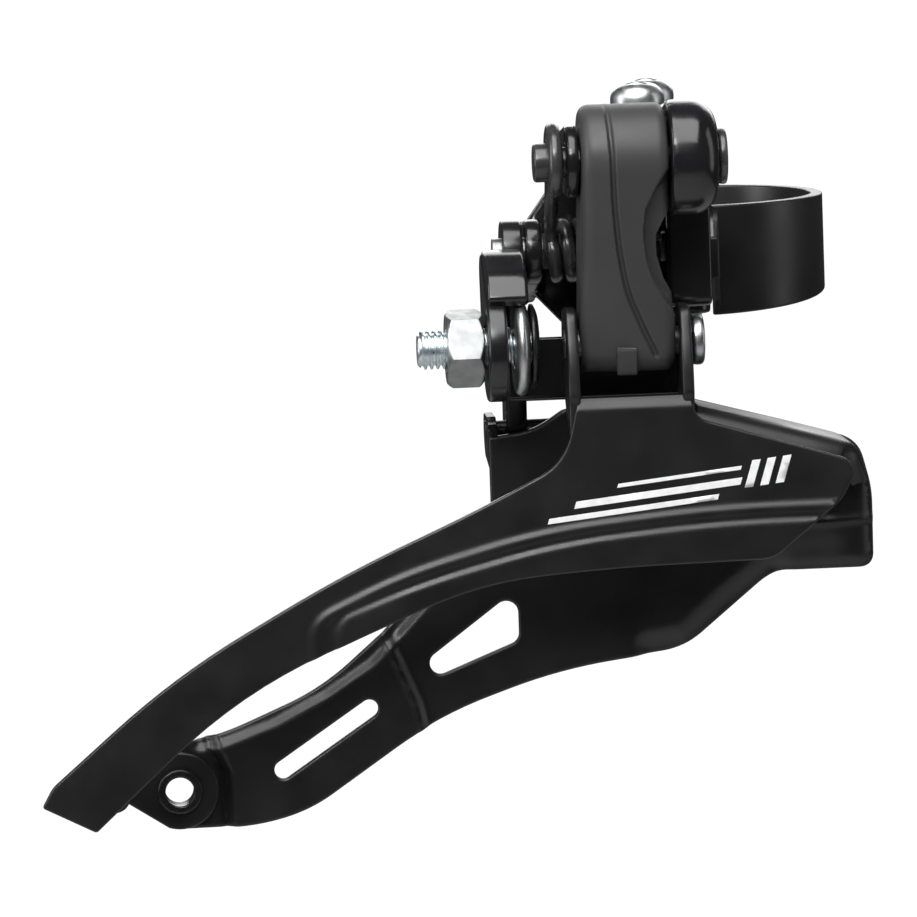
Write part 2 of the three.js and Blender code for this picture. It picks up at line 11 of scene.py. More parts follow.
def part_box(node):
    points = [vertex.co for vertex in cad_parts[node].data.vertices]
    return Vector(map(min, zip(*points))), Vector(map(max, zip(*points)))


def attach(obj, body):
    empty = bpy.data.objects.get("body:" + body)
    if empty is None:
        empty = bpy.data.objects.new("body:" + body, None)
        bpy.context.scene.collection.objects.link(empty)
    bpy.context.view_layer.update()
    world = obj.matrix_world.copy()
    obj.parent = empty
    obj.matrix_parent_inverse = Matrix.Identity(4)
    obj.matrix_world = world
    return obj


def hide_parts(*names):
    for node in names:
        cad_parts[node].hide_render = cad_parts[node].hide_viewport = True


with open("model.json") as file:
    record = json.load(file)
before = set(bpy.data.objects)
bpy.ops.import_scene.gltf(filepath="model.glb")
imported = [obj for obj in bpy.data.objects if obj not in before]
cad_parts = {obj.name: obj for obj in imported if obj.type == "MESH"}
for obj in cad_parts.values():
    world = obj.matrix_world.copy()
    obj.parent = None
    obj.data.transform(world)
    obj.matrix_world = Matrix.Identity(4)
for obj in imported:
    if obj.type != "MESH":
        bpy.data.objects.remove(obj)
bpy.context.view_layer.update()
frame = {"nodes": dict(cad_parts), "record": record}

# Sizes are in millimetres until add_piece().
MM = 0.001
RECORD = frame["record"]


# ---- places taken from the frame


def joint_place(name):
    """[X, Y, Z] of a joint."""
    joints = RECORD["behaviour"]["joints"]
    return np.array(next(joint for joint in joints if joint["name"] == name)["pos_m"]) / MM


def box_mm(node):
    low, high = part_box(node)
    return np.array(low) / MM, np.array(high) / MM


# The linkage's pivots run along X: each is [Y, Z].
A = joint_place("outer_link_swing")[1:]
B = joint_place("cage_pivot")[1:]
C = joint_place("inner_link_swing")[1:]
D = C + B - A
HINGE = joint_place("band_hinge")[:2]

OUTER_LOW, _ = box_mm("outer_cage_plate")
_, INNER_HIGH = box_mm("inner_cage_plate")
NUT_LOW, NUT_HIGH = box_mm("cable_anchor_nut")
ANCHOR_LOW, ANCHOR_HIGH = box_mm("cable_anchor_bolt")
RIVET_LOW, RIVET_HIGH = box_mm("tail_rivet")
ANCHOR = (NUT_LOW[1:] + NUT_HIGH[1:]) / 2
RIVET = (RIVET_LOW[[0, 2]] + RIVET_HIGH[[0, 2]]) / 2

SHEET = 1.2
EAR_SHEET = 1.5
BAND_RAISE = 0.8
OUTER_FACE_Y = OUTER_LOW[1] + BAND_RAISE
INNER_FACE_Y = -30.5
PIN_RADIUS = 1.9
INNER_PIN_RADIUS = 1.6
PIN_GAP = 0.08
EYELET_HOLE = 2.4
TUBE_RADIUS = 17.6


# ---- camera, light and floor

TURN = math.radians(3.7)
RAISE = math.radians(6)
ROLL = math.radians(2)
CAMERA_PLACE = Vector((-97.3, -1035.8, 82.1)) * MM
LENS = 308.2


def add_camera():
    flat = math.cos(RAISE)
    forward = Vector((math.sin(TURN) * flat, math.cos(TURN) * flat, -math.sin(RAISE)))
    level = forward.cross(Vector((0, 0, 1))).normalized()
    upright = level.cross(forward)
    right = level * math.cos(ROLL) - upright * math.sin(ROLL)
    up = level * math.sin(ROLL) + upright * math.cos(ROLL)
    camera = bpy.data.objects.new("camera", bpy.data.cameras.new("camera"))
    facing = Matrix((right, up, -forward)).transposed().to_4x4()
    camera.matrix_world = Matrix.Translation(CAMERA_PLACE) @ facing
    camera.data.sensor_width = 36
    camera.data.lens = LENS
    camera.data.clip_start = 0.01
    camera.data.clip_end = 100
    bpy.context.scene.collection.objects.link(camera)
    bpy.context.scene.camera = camera


MIDDLE = (-0.03, -0.03, -0.02)
# Each softbox is its place, width, height and power.
SOFTBOXES = {
    "top_softbox": ((-0.1, -0.42, 0.72), 0.9, 0.8, 10.5),
    "front_softbox": ((-0.38, -0.82, 0.58), 0.7, 0.24, 6),
    "left_softbox": ((-0.95, -0.16, 0.22), 0.3, 0.8, 3.6),
    "right_softbox": ((0.8, -0.1, 0.15), 0.3, 0.8, 0.9),
    "back_softbox": ((0.1, 0.8, 0.35), 0.8, 0.5, 4),
}
WHITE_GLOW = 1.05
DIM_GLOW = 0.06


def add_lights():
    for name, (place, width, height, power) in SOFTBOXES.items():
        lamp = bpy.data.lights.new(name, "AREA")
        lamp.shape = "RECTANGLE"
        lamp.size = width
        lamp.size_y = height
        lamp.energy = power
        holder = bpy.data.objects.new(name, lamp)
        holder.location = place
        heading = Vector(MIDDLE) - Vector(place)
        holder.rotation_euler = heading.to_track_quat("-Z", "Y").to_euler()
        holder.visible_camera = False
        bpy.context.scene.collection.objects.link(holder)


def shown_to_camera(tree, shown, otherwise, output):
    """The camera sees one shader, and the part is lit by the other."""
    path = tree.nodes.new("ShaderNodeLightPath")
    mix = tree.nodes.new("ShaderNodeMixShader")
    tree.links.new(path.outputs["Is Camera Ray"], mix.inputs["Fac"])
    tree.links.new(otherwise, mix.inputs[1])
    tree.links.new(shown, mix.inputs[2])
    tree.links.new(mix.outputs["Shader"], output)


def add_world():
    """A white backdrop that gives the part only a faint fill."""
    world = bpy.data.worlds.new("studio")
    bpy.context.scene.world = world
    world.use_nodes = True
    tree = world.node_tree
    tree.nodes.clear()
    output = tree.nodes.new("ShaderNodeOutputWorld")
    white = tree.nodes.new("ShaderNodeBackground")
    white.inputs["Color"].default_value = (1, 1, 1, 1)
    white.inputs["Strength"].default_value = WHITE_GLOW
    dim = tree.nodes.new("ShaderNodeBackground")
    dim.inputs["Strength"].default_value = DIM_GLOW
    shown_to_camera(tree, white.outputs["Background"], dim.outputs["Background"], output.inputs["Surface"])


def add_floor():
    """A pale table top, well below the part, which hangs from its tube clamp."""
    half, depth = 900, -450
    corners = np.column_stack([rectangle(-half, -half, half, half), np.full(4, depth)])
    floor = mesh_object("floor", (corners, [(0, 1, 2, 3)]))
    material = bpy.data.materials.new("floor_white")
    material.use_nodes = True
    tree = material.node_tree
    shader = tree.nodes["Principled BSDF"]
    shader.inputs["Base Color"].default_value = (0.5, 0.5, 0.5, 1)
    shader.inputs["Roughness"].default_value = 0.9
    glow = tree.nodes.new("ShaderNodeEmission")
    glow.inputs["Strength"].default_value = WHITE_GLOW
    surface = tree.nodes["Material Output"].inputs["Surface"]
    shown_to_camera(tree, glow.outputs["Emission"], shader.outputs["BSDF"], surface)
    floor.data.materials.append(material)


# ---- materials


def noise(tree, scale, detail, stretch=(1, 1, 1)):
    """Noise in the part's own frame, "scale" bumps to the metre."""
    place = tree.nodes.new("ShaderNodeTexCoord")
    mapping = tree.nodes.new("ShaderNodeMapping")
    mapping.inputs["Scale"].default_value = stretch
    texture = tree.nodes.new("ShaderNodeTexNoise")
    texture.inputs["Scale"].default_value = scale
    texture.inputs["Detail"].default_value = detail
    tree.links.new(place.outputs["Object"], mapping.inputs["Vector"])
    tree.links.new(mapping.outputs["Vector"], texture.inputs["Vector"])
    return texture.outputs["Fac"]


def ramp(tree, source, places, colours):
    node = tree.nodes.new("ShaderNodeValToRGB")
    stops = node.color_ramp.elements
    for end in (0, -1):
        stops[end].position = places[end]
        stops[end].color = (*colours[end], 1)
    for place, colour in zip(places[1:-1], colours[1:-1]):
        stops.new(place).color = (*colour, 1)
    tree.links.new(source, node.inputs["Fac"])
    return node.outputs["Color"]


def noisy_material(name, metallic, tone, rough, bump=None, specular=0.5, places=(0.3, 0.7)):
    """A material of clouded colour, uneven roughness and a fine grain.

    tone is (scale, detail, *colours), rough is (scale, detail, low, high), bump is (scale,
    detail, strength, depth in mm, *stretch), and places are the colours' stops on the ramp.
    """
    material = bpy.data.materials.new(name)
    material.use_nodes = True
    tree = material.node_tree
    shader = tree.nodes["Principled BSDF"]
    shader.inputs["Metallic"].default_value = metallic
    shader.inputs["Specular IOR Level"].default_value = specular
    colour = ramp(tree, noise(tree, *tone[:2]), places, tone[2:])
    tree.links.new(colour, shader.inputs["Base Color"])
    patches = tree.nodes.new("ShaderNodeMapRange")
    for socket, value in zip(("From Min", "From Max", "To Min", "To Max"), (0.3, 0.7, *rough[2:])):
        patches.inputs[socket].default_value = value
    tree.links.new(noise(tree, *rough[:2]), patches.inputs["Value"])
    tree.links.new(patches.outputs["Result"], shader.inputs["Roughness"])
    if bump:
        scale, detail, strength, depth, *stretch = bump
        grain = tree.nodes.new("ShaderNodeBump")
        grain.inputs["Strength"].default_value = strength
        grain.inputs["Distance"].default_value = depth * MM
        tree.links.new(noise(tree, scale, detail, *stretch), grain.inputs["Height"])
        tree.links.new(grain.outputs["Normal"], shader.inputs["Normal"])
    return material


def dark_steel(name, low, high):
    """Blackened steel: spring wire, rivets and the clamp bolt."""
    return noisy_material(
        name, 0.55, (300, 4, (low,) * 3, (high,) * 3), (500, 4, 0.2, 0.34), (2200, 3, 0.08, 0.04)
    )


# Satin black paint over stamped steel: faint clouding and a fine orange peel.
PLATE_PAINT = noisy_material(
    "satin_black_paint", 0, (90, 4, (0.006, 0.006, 0.0065), (0.011, 0.011, 0.012)),
    (160, 5, 0.3, 0.42), (2600, 2, 0.12, 0.05),
)
# Glossy black paint on the bracket, the inner link and the lever.
GLOSS_PAINT = noisy_material(
    "gloss_black_paint", 0, (120, 3, (0.007, 0.007, 0.008), (0.012, 0.012, 0.013)),
    (220, 4, 0.15, 0.26), (1400, 2, 0.1, 0.05), specular=0.6,
)
# Moulded dark grey resin: satin, with a fine spark-eroded grain.
RESIN = noisy_material(
    "grey_moulded_resin", 0, (60, 3, (0.036, 0.036, 0.037), (0.046, 0.046, 0.047)),
    (300, 4, 0.44, 0.54), (5200, 2, 0.16, 0.04),
)
# Bright zinc plating: faintly blue, with soft blotches and fine turning marks.
ZINC = noisy_material(
    "zinc_plating", 1, (420, 5, (0.44, 0.46, 0.47), (0.6, 0.61, 0.61), (0.7, 0.71, 0.71)),
    (700, 4, 0.28, 0.46), (3000, 3, 0.1, 0.05, (6, 1, 1)), places=(0.25, 0.55, 0.8),
)
# A darker copy of the zinc plating, for the anchor nut and the upper inner pin. On the pin it is painted
# shade: its end is darkened so that it does not glare under the left softbox.
DIMMED_ZINC = noisy_material(
    "dimmed_zinc_plating", 1, (420, 5, (0.26, 0.27, 0.27), (0.38, 0.39, 0.39)),
    (700, 4, 0.34, 0.5), (2600, 3, 0.08, 0.04),
)
# Zinc on rolled threads is a little bluer.
THREAD_ZINC = noisy_material(
    "thread_plating", 1, (500, 4, (0.7, 0.77, 0.8), (0.86, 0.92, 0.94)),
    (700, 4, 0.25, 0.42), (2600, 3, 0.08, 0.04),
)
PIN_STEEL = noisy_material(
    "turned_steel", 1, (380, 4, (0.4, 0.41, 0.42), (0.62, 0.63, 0.64)),
    (800, 4, 0.24, 0.4), (2400, 3, 0.1, 0.04, (1, 8, 8)),
)
SPRING_STEEL = dark_steel("blackened_spring_wire", 0.05, 0.09)
BLACK_OXIDE = dark_steel("black_oxide_steel", 0.02, 0.035)
DARK_PIN = dark_steel("dull_pin_steel", 0.06, 0.11)
NYLON = noisy_material(
    "black_nylon", 0, (200, 3, (0.02,) * 3, (0.03,) * 3),
    (500, 3, 0.5, 0.62), (3000, 2, 0.1, 0.04), specular=0.4,
)
INK = noisy_material(
    "white_ink", 0, (900, 4, (0.78,) * 3, (0.88,) * 3), (900, 3, 0.4, 0.55), places=(0.3, 0.6)
)


# ---- outlines


def outline(corners, steps=8):
    """Corners are (u, v, blend): each turns in a curve that starts "blend" away from it."""
    t = np.linspace(0, 1, steps + 1)[:, None]
    places = np.array([corner[:2] for corner in corners], float)
    points = []
    for i, here in enumerate(places):
        before = places[i - 1] - here
        after = places[(i + 1) % len(places)] - here
        back, on = np.linalg.norm(before), np.linalg.norm(after)
        blend = min(corners[i][2] if len(corners[i]) > 2 else 0, 0.49 * back, 0.49 * on)
        if blend == 0:
            points.append(here)
            continue
        start = here + before / back * blend
        end = here + after / on * blend
        points.extend((1 - t) ** 2 * start + 2 * t * (1 - t) * here + t**2 * end)
    return np.array(points)


def rectangle(low_u, low_v, high_u, high_v, blend=0, steps=8):
    ends = [(low_u, low_v), (high_u, low_v), (high_u, high_v), (low_u, high_v)]
    return outline([(*end, blend) for end in ends], steps)


def around(turns):
    return np.column_stack([np.cos(turns), np.sin(turns)])


def full_turn(steps):
    return np.linspace(0, 2 * np.pi, steps, endpoint=False)


def circle(centre, radius, steps=48):
    return np.array(centre) + radius * around(full_turn(steps))


def dogbone(first, first_radius, second, second_radius, steps=24):
    """Two round ends joined by their common tangents."""
    first = np.array(first, float)
    second = np.array(second, float)
    run = second - first
    heading = math.atan2(run[1], run[0])
    spread = math.acos((first_radius - second_radius) / np.hypot(*run))
    behind = np.linspace(heading + spread, heading - spread + 2 * np.pi, steps)
    beyond = np.linspace(heading - spread, heading + spread, steps)
    return np.vstack([first + first_radius * around(behind), second + second_radius * around(beyond)])


def wound(loop, sign):
    """The loop, running the way that the sign says."""
    return loop if area(loop) * sign > 0 else loop[::-1]


def area(loop):
    u, v = loop.T
    return 0.5 * np.sum(u * np.roll(v, -1) - np.roll(u, -1) * v)


def subdivide(loop, spacing):
    points = []
    for start, end in zip(loop, np.roll(loop, -1, axis=0)):
        length = np.linalg.norm(end - start)
        if length < 1e-6:
            continue
        parts = max(1, math.ceil(length / spacing))
        points.extend(start + (end - start) * k / parts for k in range(parts))
    return np.array(points)


def shift(loop, distance):
    """Moves a loop to its left by distance, at a near-constant gap."""
    after = np.roll(loop, -1, axis=0) - loop
    after /= np.linalg.norm(after, axis=1)[:, None]
    left_after = np.column_stack([-after[:, 1], after[:, 0]])
    left_before = np.roll(left_after, 1, axis=0)
    square = 1 + np.sum(left_after * left_before, axis=1)
    return loop + distance * (left_after + left_before) / np.maximum(square, 0.5)[:, None]


def inside(points, loop):
    u, v = points.T
    result = np.zeros(len(points), bool)
    for (u0, v0), (u1, v1) in zip(loop, np.roll(loop, -1, axis=0)):
        if v0 == v1:
            continue
        crosses = (v0 > v) != (v1 > v)
        result ^= crosses & (u < (u1 - u0) * (v - v0) / (v1 - v0) + u0)
    return result


def between(points, rims):
    """Inside the first rim and outside the others."""
    result = inside(points, rims[0])
    for hole in rims[1:]:
        result &= ~inside(points, hole)
    return result


def distance_to(points, line, closed=False):
    best = np.full(len(points), 1e9)
    line = np.array(line, float)
    ends = np.roll(line, -1, axis=0) if closed else line[1:]
    starts = line if closed else line[:-1]
    for start, end in zip(starts, ends):
        run = end - start
        t = np.clip((points - start) @ run / max(run @ run, 1e-12), 0, 1)
        best = np.minimum(best, np.linalg.norm(points - start - t[:, None] * run, axis=1))
    return best


def step(value, start, end):
    """Rises smoothly from 0 at start to 1 at end."""
    t = np.clip((value - start) / (end - start), 0, 1)
    return t * t * (3 - 2 * t)


# ---- meshes: each is (points, faces)

NEAR_AXIS = 0.02


def merge(*meshes):
    points = []
    faces = []
    offset = 0
    for more_points, more_faces in meshes:
        points.append(np.asarray(more_points, float))
        faces.extend(tuple(i + offset for i in face) for face in more_faces)
        offset += len(more_points)
    return np.vstack(points), faces


def sheet(loop, holes, thickness, edge, spacing, relief=None, rim_steps=4):
    """A sheet with rounded edges, as (u, v, w): w is 0 at its front face and "thickness" at its back.

    relief(points) gives the depth by which the stamping moves each point of the sheet.
    """
    rims = [wound(loop, 1)] + [wound(hole, -1) for hole in holes]
    rims = [subdivide(rim, spacing) for rim in rims]
    inner = [shift(rim, edge) for rim in rims]
    low, high = loop.min(0), loop.max(0)
    rows = np.arange(low[1], high[1], spacing * math.sqrt(3) / 2)
    grid = np.array([
        (u + (row % 2) * spacing / 2, v)
        for row, v in enumerate(rows)
        for u in np.arange(low[0], high[0], spacing)
    ])
    grid = grid[between(grid, inner)]
    for rim in inner:
        grid = grid[distance_to(grid, rim, closed=True) > spacing * 0.55]
    flat = np.vstack(inner + [grid])
    edges = []
    offset = 0
    for rim in inner:
        count = len(rim)
        edges.extend((offset + i, offset + (i + 1) % count) for i in range(count))
        offset += count
    solved = delaunay_2d_cdt([Vector(p) for p in flat], edges, [], 0, 1e-7)
    flat = np.array([tuple(p) for p in solved[0]])
    triangles = np.array(solved[2])
    triangles = triangles[between(flat[triangles].mean(axis=1), inner)]
    places = {source: index for index, sources in enumerate(solved[3]) for source in sources}
    depth = relief(flat) if relief else np.zeros(len(flat))
    count = len(flat)
    points = [np.column_stack([flat, depth]), np.column_stack([flat, depth + thickness])]
    faces = [tuple(t) for t in triangles] + [tuple(t[::-1] + count) for t in triangles]
    total = 2 * count
    turns = np.linspace(0, np.pi / 2, rim_steps + 1)[1:]
    stations = [(edge * (1 - math.sin(t)), edge * (1 - math.cos(t))) for t in turns]
    stations += [(gap, thickness - rise) for gap, rise in reversed(stations)]
    offset = 0
    for rim in rims:
        size = len(rim)
        front = [places[offset + i] for i in range(size)]
        layers = [front]
        rim_depth = depth[front]
        for gap, rise in stations:
            moved = shift(rim, gap)
            points.append(np.column_stack([moved, rim_depth + rise]))
            layers.append(list(range(total, total + size)))
            total += size
        layers.append([i + count for i in front])
        for upper, lower in zip(layers, layers[1:]):
            for i in range(size):
                j = (i + 1) % size
                faces.append((upper[i], lower[i], lower[j], upper[j]))
        offset += size
    return np.vstack(points), faces


def rings(stack, capped=True):
    """Skins a stack of rings, each the same number of points, and closes its two ends."""
    count = len(stack[0])
    faces = []
    for base in range(0, (len(stack) - 1) * count, count):
        for i in range(count):
            j = (i + 1) % count
            faces.append((base + i, base + j, base + count + j, base + count + i))
    if capped:
        last = (len(stack) - 1) * count
        faces.append(tuple(range(count))[::-1])
        faces.append(tuple(range(last, last + count)))
    return np.vstack(stack), faces


def closed_rings(stack):
    """As rings(), but the last ring joins the first."""
    points, faces = rings(stack, capped=False)
    count = len(stack[0])
    last = (len(stack) - 1) * count
    faces += [(last + i, last + (i + 1) % count, (i + 1) % count, i) for i in range(count)]
    return points, faces


def ring(height, radius, turns):
    """A ring about the first axis; its radius may vary round it."""
    return np.column_stack([turns * 0 + height, radius * np.cos(turns), radius * np.sin(turns)])


def turned(profile, sides=64, bore=False):
    """A turned piece about the first axis: profile is (radius, height) points."""
    stack = [ring(height, radius, full_turn(sides)) for radius, height in profile]
    return closed_rings(stack) if bore else rings(stack)


def soft_profile(corners, steps=5):
    """Profile of a solid turned piece: (radius, height, blend) corners between its two end faces."""
    first = (NEAR_AXIS, corners[0][1])
    last = (NEAR_AXIS, corners[-1][1])
    return outline([first, *corners, last], steps)


def rod(radius, start, end, edge=0.2, sides=48):
    """A plain pin with rounded rims along the first axis."""
    return turned(soft_profile([(radius, start, edge), (radius, end, edge)]), sides)


def placed(mesh, axes, offset):
    """Takes the mesh's axes in another order, and moves it."""
    points, faces = mesh
    return points[:, axes] + np.array(offset), faces


def along_x(mesh, centre):
    """A turned mesh runs along X through [Y, Z]."""
    return placed(mesh, [0, 1, 2], (0, centre[0], centre[1]))


def along_y(mesh, centre):
    """It runs along Y through [X, Z]."""
    return placed(mesh, [2, 0, 1], (centre[0], 0, centre[1]))


def along_z(mesh, centre):
    """It stands along Z through [X, Y]."""
    return placed(mesh, [1, 2, 0], (centre[0], centre[1], 0))


def sheet_xz(mesh, front_y):
    """A sheet's (u, v, w) become (X, Z, Y)."""
    return placed(mesh, [0, 2, 1], (0, front_y, 0))


def sheet_yz(mesh, left_x):
    """They become (Y, Z, X)."""
    return placed(mesh, [2, 0, 1], (left_x, 0, 0))


def sheet_xy(mesh, low_z):
    """They become (X, Y, Z)."""
    return placed(mesh, [0, 1, 2], (0, 0, low_z))


def stacked(loop, stations):
    """Skins a loop at each (inset, height), as (w, u, v) with the height for w."""
    loop = wound(loop, 1)
    return rings([
        np.column_stack([np.full(len(loop), height), shift(loop, inset)]) for inset, height in stations
    ])


def bar(loop, start, end, edge, stations=2, rim_steps=5):
    """A prism with rounded rims, from start to end."""
    turns = np.linspace(0, np.pi / 2, rim_steps + 1)
    rim = [(edge * (1 - math.sin(t)), edge * (1 - math.cos(t))) for t in turns]
    heights = [(gap, start + rise) for gap, rise in rim]
    heights += [(0, h) for h in np.linspace(start + edge, end - edge, stations)[1:-1]]
    heights += [(gap, end - rise) for gap, rise in reversed(rim)]
    return stacked(loop, heights)


def mesh_object(name, mesh):
    points, faces = mesh
    data = bpy.data.meshes.new(name)
    data.from_pydata((np.asarray(points) * MM).tolist(), [], [tuple(int(i) for i in f) for f in faces])
    thing = bpy.data.objects.new(name, data)
    bpy.context.scene.collection.objects.link(thing)
    return thing


def add_piece(name, mesh, body, material, replaces=(), crease=38, weld=1e-4):
    """Makes a mesh into a piece of the part, riding on a body."""
    piece = mesh_object(name, mesh)
    piece.data.validate()
    clean(piece, crease, weld)
    piece.data.materials.append(material)
    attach(piece, body)
    if replaces:
        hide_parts(*replaces)
    return piece


def shade(piece, crease):
    piece.data.shade_smooth()
    piece.data.set_sharp_from_angle(angle=math.radians(crease))


def clean(piece, crease, weld=1e-4):
    """Welds points that meet and turns every face outwards."""
    work = bmesh.new()
    work.from_mesh(piece.data)
    if weld:
        bmesh.ops.remove_doubles(work, verts=work.verts, dist=weld * MM)
    bmesh.ops.recalc_face_normals(work, faces=work.faces)
    work.to_mesh(piece.data)
    work.free()
    shade(piece, crease)


def apply_modifiers(piece):
    bpy.context.view_layer.update()
    graph = bpy.context.evaluated_depsgraph_get()
    baked = bpy.data.meshes.new_from_object(piece.evaluated_get(graph))
    piece.modifiers.clear()
    old = piece.data
    piece.data = baked
    bpy.data.meshes.remove(old)


def carve(piece, tools, crease=38):
    """Cuts closed meshes out of a piece."""
    cutter = mesh_object("cutter", merge(*tools))
    cutter_mesh = cutter.data
    clean(cutter, crease)
    cut = piece.modifiers.new("cut", "BOOLEAN")
    cut.operation = "DIFFERENCE"
    cut.solver = "EXACT"
    cut.object = cutter
    cut.use_self = True
    apply_modifiers(piece)
    bpy.data.objects.remove(cutter)
    bpy.data.meshes.remove(cutter_mesh)
    shade(piece, crease)


def fuse(piece, voxel, smoothing, crease=80):
    """Melts overlapping solids into one skin with small fillets, as in a pressed and welded part."""
    remesh = piece.modifiers.new("remesh", "REMESH")
    remesh.mode = "VOXEL"
    remesh.voxel_size = voxel * MM
    apply_modifiers(piece)
    work = bmesh.new()
    work.from_mesh(piece.data)
    for _ in range(smoothing):
        bmesh.ops.smooth_vert(
            work, verts=work.verts, factor=0.5, use_axis_x=True, use_axis_y=True, use_axis_z=True,
        )
    work.to_mesh(piece.data)
    work.free()
    shade(piece, crease)


# ---- outer cage plate

PLATE_EDGE = 0.28
TOP_OF_NECK = -15.5
NECK_FOLD = 1.4
LEFT_EAR_X = -18.7
RIGHT_EAR_X = -4.1


OUTER_OUTLINE = outline([
    (-17.6, TOP_OF_NECK, 0.6), (-3.2, TOP_OF_NECK, 0.6), (-2.4, -18.6, 1.6),
    (16.8, -24.5, 1.2), (17.7, -26.4, 1.2), (16, -29.6, 1), (6.8, -37, 1.6),
    (-14, -37.3, 8), (-31, -38.6, 8), (-62, -51.4, 12), (-81, -68.6, 0.4),
    (OUTER_LOW[0], -65.1, 0.4), (-86.4, -62.6, 0.8), (-70.2, -48.9, 14), (-48, -36.6, 12),
    (-31, -29.3, 8), (-19.4, -23.6, 5),
])


UPPER_LINE = outline([
    (30, -29.9), (0, -29.9, 9), (-23, -32, 8), (-41, -36.9, 6), (-52.9, -42.4, 3.2),
    (-53, -60), (30, -60),
])
LOWER_LINE = outline([
    (30, -31.9), (0, -31.9, 9), (-21, -33.8, 8), (-38, -38.1, 6), (-49.6, -42.4, 2.4),
    (-49.7, -60), (30, -60),
])


def within(points, loop):
    """Signed distance to a closed line, positive inside."""
    gap = distance_to(points, loop, closed=True)
    return np.where(inside(points, loop), gap, -gap)


def outer_relief(points):
    """Two steps towards the viewer: a soft one at the upper line and a sharp one at the lower line."""
    upper = within(points, UPPER_LINE)
    lower = within(points, LOWER_LINE)
    rise = 0.42 * step(upper, -0.5, 0.6) - 0.22 * step(upper, 0.6, 2)
    lip = 0.45 * step(lower, -0.4, 0.6) - 0.12 * step(lower, 0.7, 3.4)
    fold = np.clip(points[:, 1] - TOP_OF_NECK + NECK_FOLD, 0, NECK_FOLD)
    return 0.6 * fold - rise - lip


def outer_ear_loop():
    """The ear's edge: up its flush front, over pivot B, and down behind the plate's face."""
    inset = OUTER_FACE_Y + 0.35
    return outline([
        (OUTER_FACE_Y + 2.6, -4.2, 1.6), (B[0] + 3.4, -4.2, 3), (B[0] + 4.7, -9.5, 3),
        (B[0] + 3.2, -14.5, 2), (B[0] + 0.5, -18, 3), (OUTER_FACE_Y + SHEET - 0.2, -21),
        (inset, -21), (inset, -16.2, 0.3), (OUTER_FACE_Y, -15.2, 0.5),
        (OUTER_FACE_Y + 0.5, -10.5, 4),
    ])


def outer_cage_plate():
    face = sheet(OUTER_OUTLINE, [], SHEET, PLATE_EDGE, 0.42, outer_relief)
    parts = [sheet_xz(face, OUTER_FACE_Y)]
    bore = circle(B, PIN_RADIUS + PIN_GAP)
    for left_x in (LEFT_EAR_X, RIGHT_EAR_X):
        blade = sheet(outer_ear_loop(), [bore], EAR_SHEET, 0.4, 0.5)
        parts.append(sheet_yz(blade, left_x))
    wall = sheet(
        outline([(-86.3, -65.6), (-81.1, -68.3), (-80.6, -67.3), (-85.8, -64.6)]), [],
        INNER_FACE_Y - 0.6 - OUTER_FACE_Y, 0.2, 0.8,
    )
    parts.append(sheet_xz(wall, OUTER_FACE_Y + 0.3))
    round_end = RIVET + 5 * around(np.radians(np.linspace(108, -108, 28)))
    tab_loop = np.vstack([
        round_end,
        outline([(-77, -67.6, 1), (-80.8, -68.3, 0.3), (-86.2, -65.3, 0.3), (-72.6, -59.6, 1.5)]),
    ])
    tab = sheet(tab_loop, [circle(RIVET, EYELET_HOLE)], SHEET, 0.25, 0.6)
    parts.append(sheet_xz(tab, INNER_FACE_Y - 0.3 - SHEET))
    add_piece(
        "outer_cage_stamping", merge(*parts), "cage", PLATE_PAINT, ["outer_cage_plate"]
    )


def cage_stripes():
    """Plain slanted stripes printed on the plate: each is its left, right, foot and height."""
    slant = 0.32
    rise = math.radians(6)
    start = np.array([-22, -31.4])
    along = np.array([math.cos(rise), math.sin(rise)])
    bars = [(0, 22, 0, 0.7), (3, 24.5, 1.5, 0.9), (8, 24, 3.4, 0.5)]
    bars += [(25.2 + 2 * k, 26.3 + 2 * k, 1, 3.4) for k in range(3)]
    parts = []
    for left, right, base, height in bars:
        u, v = rectangle(left, base, right, base + height).T
        corners = start + np.outer(u + slant * v, along)
        corners[:, 1] += v * math.cos(rise)
        stripe = sheet(corners, [], 0.05, 0.02, 0.8, outer_relief, rim_steps=1)
        parts.append(sheet_xz(stripe, OUTER_FACE_Y - 0.03))
    add_piece("cage_stripes", merge(*parts), "cage", INK)


# ---- inner cage plate


INNER_OUTLINE = outline([
    (-2, -17.2, 0.5), (9.9, -20.5, 2), (19.6, -23.4, 2.5), (INNER_HIGH[0], -30, 2),
    (21.3, -40.2, 1.8), (8.2, -40.2, 2.4), (-3.6, -49.8, 3), (-20, -51.8, 7),
    (-36, -57.2, 7), (-53, -68.6, 6), (-60, -70.4, 4), (-71.8, -70.5, 3),
    (-75.2, -65.5, 2.5), (-72, -59.9, 2.5), (-64, -58.3, 3.5), (-51, -52.9, 5),
    (-41.3, -44.6, 3), (-28.3, -31, 1), (-28.3, -21.2, 0.4), (-22.6, -20.6, 3),
    (-18.6, -18, 0.5),
])


WINDOW_CORNERS = np.vstack([
    circle((-35.5, -50.3), 1.4), circle((-26.8, -44.2), 1.6), circle((-26.6, -46.8), 1.4),
])
WINDOW = WINDOW_CORNERS[convex_hull_2d([tuple(p) for p in WINDOW_CORNERS])]
SLOT = dogbone((-56.4, -63.2), 1.15, (-45, -55.7), 1.15, 16)
UPPER_FLANGE = [
    (-67, -58.9), (-64, -58.3), (-57.6, -56), (-51, -52.7), (-45.1, -48.9), (-41, -45),
    (-34, -37.4),
]
LOWER_FLARE = [(8.2, -40.2), (2.4, -44.4), (-3.4, -49.4), (-8, -50)]
JOGGLE = [(-66.2, -57), (-65.2, -60.4), (-63.9, -63.6), (-63.9, -66.6), (-63.3, -72)]
RIDGE = [(-43.2, -42), (-42.4, -46.2), (-38.6, -55.4), (-37.6, -60)]


def side_of(points, line):
    """Distance to a downward line, positive on its right."""
    line = np.array(line, float)
    gap = distance_to(points, line)
    edge_u = np.interp(-points[:, 1], -line[:, 1], line[:, 0])
    return np.where(points[:, 0] > edge_u, gap, -gap)


